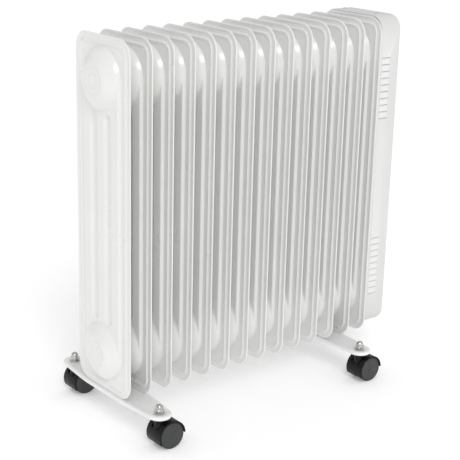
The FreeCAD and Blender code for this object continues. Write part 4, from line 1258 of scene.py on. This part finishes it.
@dataclass
class ControlBox:
    """Cover, panel, knob, switches, lamp, gland and screws."""

    vents: VentRows
    corner: float = 26.0
    wall: float = 2.5
    front_round: float = 5.0
    window_corner: float = 12.0
    lip: float = 4.0
    mark_count: int = 7
    scale_radius: float = 29.5
    scale_turn_deg: float = 270.0
    flutes: int = 24
    knob_points: int = 192
    rocker_tilt_deg: float = 8.0
    slack: float = 0.3
    gland_hole: float = 9.05
    screw_radius: float = 3.6
    screw_high: float = 1.8
    crisp_deg: float = 30.0

    def plate(self, x_steps: Sequence[tuple[float, float]], half: float, low: float, high: float,
              radius: float) -> Shell:
        """Stack of rounded rectangles across the heater.

        Args:
            x_steps: Pairs of x and inset.
            half: Half size along Y with no inset.
            low: Lower edge with no inset.
            high: Upper edge with no inset.
            radius: Corner radius with no inset.

        Returns:
            The closed shell.
        """
        shell = Shell()
        shell.skin([stand_up(rounded_outline(half - i, low + i, high - i, max(radius - i, 0.5)), x)
                    for x, i in x_steps])
        return shell

    def cover(self, dresser: Dresser, repeater: Repeater) -> None:
        """Mould the cover, hollow, with its window, vents and gland hole."""
        low, high = node_box("control_cover")
        turn, front = self.front_round, high[0]
        steps = [(low[0], 0.5), (low[0] + 0.5, 0.0), (low[0] + 2, 0.0), (front - turn - 1, 0.0)]
        for angle in np.radians(np.arange(0, 91, 10)):
            steps.append((front - turn * (1 - math.sin(angle)), turn * (1 - math.cos(angle))))
        half = (high[1] - low[1]) / 2
        body = self.plate(steps, half, low[2], high[2], self.corner)
        outer = body.build("moulded_cover", self.crisp_deg)
        outer.data.materials.append(dresser.material(COVER_ABS))
        inside = [(low[0] - 5, self.wall), (front - self.wall - 2, self.wall),
                  (front - self.wall - 0.6, self.wall + 0.6), (front - self.wall, self.wall + 2)]
        hollow = self.plate(inside, half, low[2], high[2], self.corner)
        cover = carve(outer, hollow.build("hollow"), Carving.CUT, self.crisp_deg)
        pane_low, pane_high = node_box("control_panel")
        window = self.plate([(front - 12, 0), (front + 5, 0)], pane_high[1] - self.lip + 0.25,
                            pane_low[2] + self.lip - 0.25, pane_high[2] - self.lip + 0.25,
                            self.window_corner)
        cover = carve(cover, window.build("window"), Carving.CUT, self.crisp_deg)
        rods = self.vents.cutter(half, repeater, dresser.material(COVER_ABS))
        cover = carve(cover, rods, Carving.CUT, self.crisp_deg)
        gland_low, gland_high = node_box("cord_gland")
        hole = Shell()
        hole.lathe([(0, -10), (self.gland_hole, -10), (self.gland_hole, 10), (0, 10)],
                   ((gland_low[0] + gland_high[0]) / 2, 0, low[2]), Axis.Z, 48)
        cover = carve(cover, hole.build("gland_hole"), Carving.CUT, self.crisp_deg)
        dresser.hand_over(even_normals(cover), "root", COVER_ABS, ["control_cover"])

    def panel(self, dresser: Dresser, repeater: Repeater) -> None:
        """Mould the panel with its raised frame line and the knob's printed scale."""
        low, high = node_box("control_panel")
        front = high[0]
        half = high[1] - self.lip
        bottom, top = low[2] + self.lip, high[2] - self.lip
        body = self.plate([(low[0], -self.lip), (low[0] + 1.5, -self.lip), (low[0] + 1.5, 0.0),
                           (front - 0.6, 0.0), (front - 0.2, 0.2), (front, 0.7), (front, 3.0),
                           (front - 0.5, 3.6), (front - 0.5, 4.6), (front, 5.2), (front, 7.0)],
                          half, bottom, top, self.window_corner)
        panel = body.build("moulded_panel", 25.0)
        panel.data.materials.append(dresser.material(PANEL_ABS))
        knob_low, knob_high = node_box("thermostat_knob")
        axis = (knob_low[2] + knob_high[2]) / 2
        mark = Shell()
        mark.block((-0.2, -0.5, -2.5), (0.15, 0.5, 2.5))
        places, turns, sizes = [], [], []
        for n in range(self.mark_count):
            share = n / (self.mark_count - 1)
            angle = math.radians(self.scale_turn_deg * (0.5 - share))
            places.append((front, -self.scale_radius * math.sin(angle),
                           axis + self.scale_radius * math.cos(angle)))
            turns.append((angle, 0, 0))
            sizes.append((1, 1 + 0.22 * n, 0.8 + 0.1 * n))
        marks = repeater.set_out("scale_marks", mark.build("scale_mark"),
                                 dresser.material(SCALE_PRINT), places, turns, sizes)
        holes = Shell()
        frame_low, frame_high = node_box("switch_frame")
        edge = np.array([0.0, 2.9, 2.9])
        holes.block(frame_low + edge - (20, 0, 0), frame_high - edge + (20, 0, 0))
        for node in ("pilot_lens", "thermostat_shaft"):
            part_low, part_high = node_box(node)
            spare = -0.35 if node == "pilot_lens" else self.slack
            bore = (part_high[1] - part_low[1]) / 2 + spare
            height = (part_low[2] + part_high[2]) / 2
            holes.lathe([(0, -20), (bore, -20), (bore, 20), (0, 20)], (front, 0, height),
                        Axis.X, 40)
        panel = carve(panel, holes.build("panel_holes"), Carving.CUT, 25.0)
        dresser.hand_over(self.merge([panel, marks], "moulded_panel_with_scale"), "root", PANEL_ABS,
                          ["control_panel"])

    def merge(self, pieces: Sequence[bpy.types.Object], name: str) -> bpy.types.Object:
        """Join loose pieces into one object, keeping each one's material."""
        work = bmesh.new()
        materials: list[bpy.types.Material] = []
        for piece in pieces:
            first = len(work.faces)
            work.from_mesh(piece.data)
            work.faces.ensure_lookup_table()
            for face in work.faces[first:]:
                face.material_index += len(materials)
            materials.extend(piece.data.materials)
        mesh = bpy.data.meshes.new(name)
        work.to_mesh(mesh)
        work.free()
        for material in materials:
            mesh.materials.append(material)
        for piece in pieces:
            bpy.data.objects.remove(piece)
        return add_object(name, mesh)

    def knob(self, dresser: Dresser) -> None:
        """Mould the knob with a fluted grip and a pointer line."""
        low, high = node_box("thermostat_knob")
        axis, radius = (low[2] + high[2]) / 2, (high[1] - low[1]) / 2
        back, front = low[0], high[0]
        turns = np.arange(self.knob_points) * math.tau / self.knob_points
        levels = [(back, radius - 0.5, 0), (back + 0.5, radius, 0), (back + 2.2, radius, 0),
                  (back + 3.2, radius - 0.8, 0), (back + 4.2, radius - 2.6, 0),
                  (back + 4.8, radius - 3.2, 0.2), (back + 5.6, radius - 3.5, 0.7),
                  (front - 2.4, radius - 4.0, 0.7), (front - 1.2, radius - 4.4, 0.45),
                  (front - 0.4, radius - 5.2, 0.1), (front, radius - 6.4, 0.0),
                  (front, radius - 8.0, 0.0), (front - 0.5, radius - 9.0, 0.0),
                  (front - 0.7, radius - 12.0, 0.0)]
        loops = []
        for x, size, flute in levels:
            away = size - flute * (0.5 - 0.5 * np.cos(turns * self.flutes))
            ring = np.column_stack([away * np.sin(turns), axis + away * np.cos(turns)])
            loops.append(stand_up(ring, x))
        shell = Shell()
        shell.skin(loops)
        grip = shell.build("fluted_grip", 32.0)
        grip.data.materials.append(dresser.material(KNOB_ABS))
        line = Shell()
        angle = math.radians(self.scale_turn_deg / 2)
        line.block((front - 0.9, -0.9, 9.5), (front + 0.05, 0.9, radius - 6.6))
        pointer = line.build("pointer")
        lift = Matrix.Translation((0, 0, axis * MM))
        pointer.data.transform(lift @ Matrix.Rotation(angle, 4, "X"))
        pointer.data.materials.append(dresser.material(SCALE_PRINT))
        dresser.hand_over(self.merge([grip, pointer], "fluted_knob"), "knob", KNOB_ABS,
                          ["thermostat_knob"])

    def switches(self, dresser: Dresser) -> None:
        """Mould the switch frame and both rockers."""
        low, high = node_box("switch_frame")
        middle = (low[2] + high[2]) / 2
        half, tall, front = (high[1] - low[1]) / 2, (high[2] - low[2]) / 2, high[0]
        body = self.plate([(low[0], 3.0), (front - 1.5, 3.0), (front - 1.5, 0.0),
                           (front - 0.5, 0.0), (front - 0.1, 0.3), (front, 0.9), (front, 1.6)],
                          half, middle - tall, middle + tall, 2.4)
        body = body.build("switch_bezel", self.crisp_deg)
        body.data.materials.append(dresser.material(SWITCH_BLACK))
        wells = Shell()
        for side in ("left", "right"):
            rock_low, rock_high = node_box(f"{side}_rocker")
            wells.block((front - 18, rock_low[1] - self.slack, middle - 11.3),
                        (front + 5, rock_high[1] + self.slack, middle + 11.3))
        frame_piece = carve(body, wells.build("wells"), Carving.CUT, self.crisp_deg)
        dresser.hand_over(frame_piece, "root", SWITCH_BLACK, ["switch_frame"])
        for side in ("left", "right"):
            self.rocker(side, dresser)

    def rocker(self, side: str, dresser: Dresser) -> None:
        """Mould one rocker, tilted to off, with a bar and a ring as its marks.

        Args:
            side: left or right.
            dresser: Gives the finishes and hands the piece over.
        """
        node = f"{side}_rocker"
        joint = next(j for j in frame["joints"] if j["child"] == node)
        pivot = np.array(joint["pos_m"]) / MM
        low, high = node_box(node)
        half = (high[1] - low[1]) / 2
        face = [(5.0 - 1.6 * (1 - abs(t)) ** 1.4, 10.3 * t) for t in np.linspace(1, -1, 17)]
        side_view = np.array([(3.4, 10.2), (-3.8, 4.0), (-3.8, -4.0), (3.4, -10.2)])
        outline = np.concatenate([np.array(face[::-1]), side_view])
        shell = Shell()
        loops = []
        for across, inset in ((-half, 0.4), (-half + 0.4, 0.0), (half - 0.4, 0.0), (half, 0.4)):
            shrunk = outline * (1 - inset / 10)
            loops.append(np.column_stack([shrunk[:, 0], np.full(len(outline), across),
                                          shrunk[:, 1]]))
        shell.skin(loops)
        body = shell.build("rocker_body", self.crisp_deg)
        body.data.materials.append(dresser.material(SWITCH_BLACK))
        marks = Shell()
        marks.block((4.0, -0.5, 4.2), (4.55, 0.5, 8.0))
        marks.lathe([(1.5, 4.0), (2.1, 4.0), (2.1, 4.62), (1.5, 4.62), (1.5, 4.0)],
                    (0, 0, -6.1), Axis.X, 32)
        printed = marks.build("rocker_marks", self.crisp_deg)
        printed.data.materials.append(dresser.material(SWITCH_MARK))
        piece = self.merge([body, printed], f"{side}_rocker_moulding")
        tilt = Matrix.Rotation(math.radians(self.rocker_tilt_deg), 4, "Y")
        where = Matrix.Translation([c * MM for c in (pivot[0], (low[1] + high[1]) / 2, pivot[2])])
        piece.data.transform(where @ tilt)
        dresser.hand_over(piece, node, SWITCH_BLACK, [node])

    def small_parts(self, dresser: Dresser, repeater: Repeater) -> None:
        """Make the pilot lens, the cord gland and the cover screws."""
        low, high = node_box("pilot_lens")
        axis = (low[2] + high[2]) / 2
        lens = Shell()
        x = high[0] - 2.5
        lens.lathe([(0, low[0] - x), (3.4, low[0] - x), (3.5, -0.3), (4.0, 0.0), (4.0, 0.9),
                    (3.7, 1.5), (2.9, 2.05), (1.6, 2.4), (0, 2.5)], (x, 0, axis), Axis.X, 40)
        dresser.hand_over(lens.build("domed_lens"), "root", LENS_ACRYLIC, ["pilot_lens"])
        low, high = node_box("cord_gland")
        centre, rim = ((low[0] + high[0]) / 2, 0, low[2]), (high[0] - low[0]) / 2
        gland = Shell()
        tall = high[2] - low[2]
        gland.lathe([(4.2, 0.6), (4.8, 0.0), (7.4, 0.0), (7.8, 0.5), (rim - 1.2, 0.7), (rim, 1.2),
                     (rim, 2.6), (rim - 0.4, 3.0), (9.0, 3.0), (9.0, tall - 0.6), (8.4, tall),
                     (4.2, tall), (4.2, 0.6)], centre, Axis.Z, 56)
        dresser.hand_over(gland.build("moulded_gland"), "root", GLAND_NYLON, ["cord_gland"])
        low, high = node_box("cover_screws")
        head, rim = Shell(), self.screw_radius
        head.lathe([(0, -8), (1.5, -8), (1.8, -7.6), (1.8, -0.02), (rim, -0.02), (rim, 0.7),
                    (3.2, 1.3), (2.2, 1.7), (0, self.screw_high)], (0, 0, 0), Axis.Z, 36)
        cross = Shell()
        cross.block((-2.1, -0.45, 0.5), (2.1, 0.45, 3))
        cross.block((-0.45, -2.1, 0.5), (0.45, 2.1, 3))
        screw = carve(head.build("screw"), cross.build("cross"), Carving.CUT)
        x = (low[0] + high[0]) / 2
        across = (high[1] - low[1]) / 2 - rim
        places, turns = [], []
        for side in (-1, 1):
            places += [(x, side * across, high[2] - self.screw_high),
                       (x, side * across, low[2] + self.screw_high)]
            turns += [(0, 0, 0.4 * side), (math.pi, 0, 0.2)]
        screws = repeater.set_out("pan_head_screws", screw, dresser.material(NICKEL_PLATE), places,
                                  turns)
        dresser.hand_over(screws, "root", NICKEL_PLATE, ["cover_screws"])

    def build(self, dresser: Dresser, repeater: Repeater) -> None:
        """Make every piece of the box and dress what stays inside it."""
        self.cover(dresser, repeater)
        self.panel(dresser, repeater)
        self.knob(dresser)
        self.switches(dresser)
        self.small_parts(dresser, repeater)
        for finish, nodes in (
            (ZINC_PLATE, ["back_plate", "upper_strap", "lower_strap", "filler_plug",
                          "element_plug"]),
            (PRESSED_ALUMINIUM, ["thermostat_body", "thermal_cutout"]),
            (DRAWN_STEEL, ["thermostat_shaft", "switch_pin"]),
            (BLOCK_THERMOSET, ["terminal_block"]), (GLAND_NYLON, ["gland_nut"]),
            (GASKET_RUBBER, ["header_gaskets"]), (HEATED_STEEL, ["heating_element"]),
        ):
            dresser.dress(nodes, finish)


# ---- studio ---------------------------------------------------------------------------------

@dataclass
class SoftBox:
    """One large, soft studio light."""

    name: str
    place: tuple[float, float, float]
    aim: tuple[float, float, float]
    size: tuple[float, float]
    power: float

    def build(self) -> None:
        """Hang the light and turn it to its aim; places are in metres."""
        data = bpy.data.lights.new(self.name, "AREA")
        data.shape = "RECTANGLE"
        data.size, data.size_y = self.size
        data.energy = self.power
        lamp = add_object(self.name, data)
        lamp.location = self.place
        way = Vector(self.aim) - Vector(self.place)
        lamp.rotation_euler = way.to_track_quat("-Z", "Y").to_euler()


@dataclass
class Studio:
    """Pale floor, soft light and the camera.

    Attributes:
        eye: Place of the camera, in millimetres.
        yaw_deg: Direction of view, from +X towards +Y.
        pitch_deg: How far it looks down.
        roll_deg: How far it is turned about its own view.
        lens_mm: Focal length.
        floor_colour: Colour of the floor.
        floor_glow: Light that the floor gives off, as a backdrop does.
        floor_half_m: Half the floor's size, in metres.
        sky: Light of the room; it is shown to the camera at full white.
        window: Strength of the broad light from one side.
        window_spread_deg: Its width as seen from the heater.
        window_from: Direction that it comes from.
    """

    eye: tuple[float, float, float] = (-1269.0, -1532.2, 909.6)
    yaw_deg: float = 50.95
    pitch_deg: float = 17.52
    roll_deg: float = -1.46
    lens_mm: float = 94.45
    floor_colour: str = "#fbfbfb"
    floor_glow: float = 0.17
    floor_half_m: float = 14.0
    sky: float = 0.7
    window: float = 1.0
    window_spread_deg: float = 24.0
    window_from: tuple[float, float, float] = (-0.36, -0.66, 0.66)

    def camera(self) -> None:
        """Set the camera up in front of the closed end's corner."""
        yaw, pitch, roll = (math.radians(a) for a in (self.yaw_deg, self.pitch_deg, self.roll_deg))
        ahead = Vector((math.cos(yaw) * math.cos(pitch), math.sin(yaw) * math.cos(pitch),
                        -math.sin(pitch)))
        right = ahead.cross(Vector((0, 0, 1))).normalized()
        down = ahead.cross(right)
        turned_right = right * math.cos(roll) + down * math.sin(roll)
        turned_up = right * math.sin(roll) - down * math.cos(roll)
        data = bpy.data.cameras.new("camera")
        data.lens = self.lens_mm
        data.clip_end = 30.0
        camera = add_object("camera", data)
        axes = Matrix((turned_right, turned_up, -ahead)).transposed().to_4x4()
        camera.matrix_world = Matrix.Translation(Vector(self.eye) * MM) @ axes
        bpy.context.scene.camera = camera

    def floor(self) -> None:
        """Lay a wide pale floor."""
        mesh = bpy.data.meshes.new("floor")
        far = self.floor_half_m
        corners = [(-far, -far, 0), (far, -far, 0), (far, far, 0), (-far, far, 0)]
        mesh.from_pydata(corners, [], [(0, 1, 2, 3)])
        ground = add_object("floor", mesh)
        material = bpy.data.materials.new("pale_floor")
        material.use_nodes = True
        shader = material.node_tree.nodes["Principled BSDF"]
        for name, value in (("Base Color", linear(self.floor_colour)), ("Roughness", 0.85),
                            ("Specular IOR Level", 0.1), ("Emission Color", (1.0, 1.0, 1.0, 1.0)),
                            ("Emission Strength", self.floor_glow)):
            shader.inputs[name].default_value = value
        mesh.materials.append(material)

    def lights(self) -> None:
        """Hang the soft boxes and light the room evenly."""
        world = bpy.data.worlds.new("white_room")
        world.use_nodes = True
        tree = world.node_tree
        seen = add_node(tree, "ShaderNodeLightPath")
        strength = add_node(tree, "ShaderNodeMapRange", None, {
            "Value": seen.outputs["Is Camera Ray"], "To Min": self.sky, "To Max": 1.0})
        back = tree.nodes["Background"]
        back.inputs["Color"].default_value = (1.0, 1.0, 1.0, 1.0)
        tree.links.new(strength.outputs["Result"], back.inputs["Strength"])
        bpy.context.scene.world = world
        sun = bpy.data.lights.new("window_wall", "SUN")
        sun.energy = self.window
        sun.angle = math.radians(self.window_spread_deg)
        wall = add_object("window_wall", sun)
        wall.rotation_euler = (-Vector(self.window_from)).to_track_quat("-Z", "Y").to_euler()
        middle = (0.0, 0.0, 0.32)
        for box in (
            SoftBox("strip_right", (0.6, -2.8, 0.62), middle, (0.5, 0.4), 3.2),
            SoftBox("strip_left", (-1.9, -2.3, 0.62), middle, (0.5, 0.4), 2.2),
        ):
            box.build()

    def build(self) -> None:
        """Set up camera, floor, lights and how the light is shown."""
        self.camera()
        self.floor()
        self.lights()
        bpy.context.scene.view_settings.view_transform = "Standard"


# ---- the whole heater -----------------------------------------------------------------------

def main() -> None:
    """Build the studio and every sub-assembly."""
    logging.basicConfig(level=logging.INFO, format="%(name)s: %(message)s")
    Studio().build()
    dresser, repeater = Dresser(), Repeater()
    FinRow(FinPressing()).build(dresser)
    for node in ("front_foot", "rear_foot"):
        Foot(node).build(dresser)
    dresser.dress(["front_u_bolt", "rear_u_bolt"], ZINC_PLATE)
    dresser.dress(["caster_stems"], DRAWN_STEEL)
    StemHardware().build(dresser, repeater)
    for corner in ("front_left", "front_right", "rear_left", "rear_right"):
        Caster(corner).build(dresser)
    ControlBox(VentRows()).build(dresser, repeater)


if __name__ == "__main__":
    main()
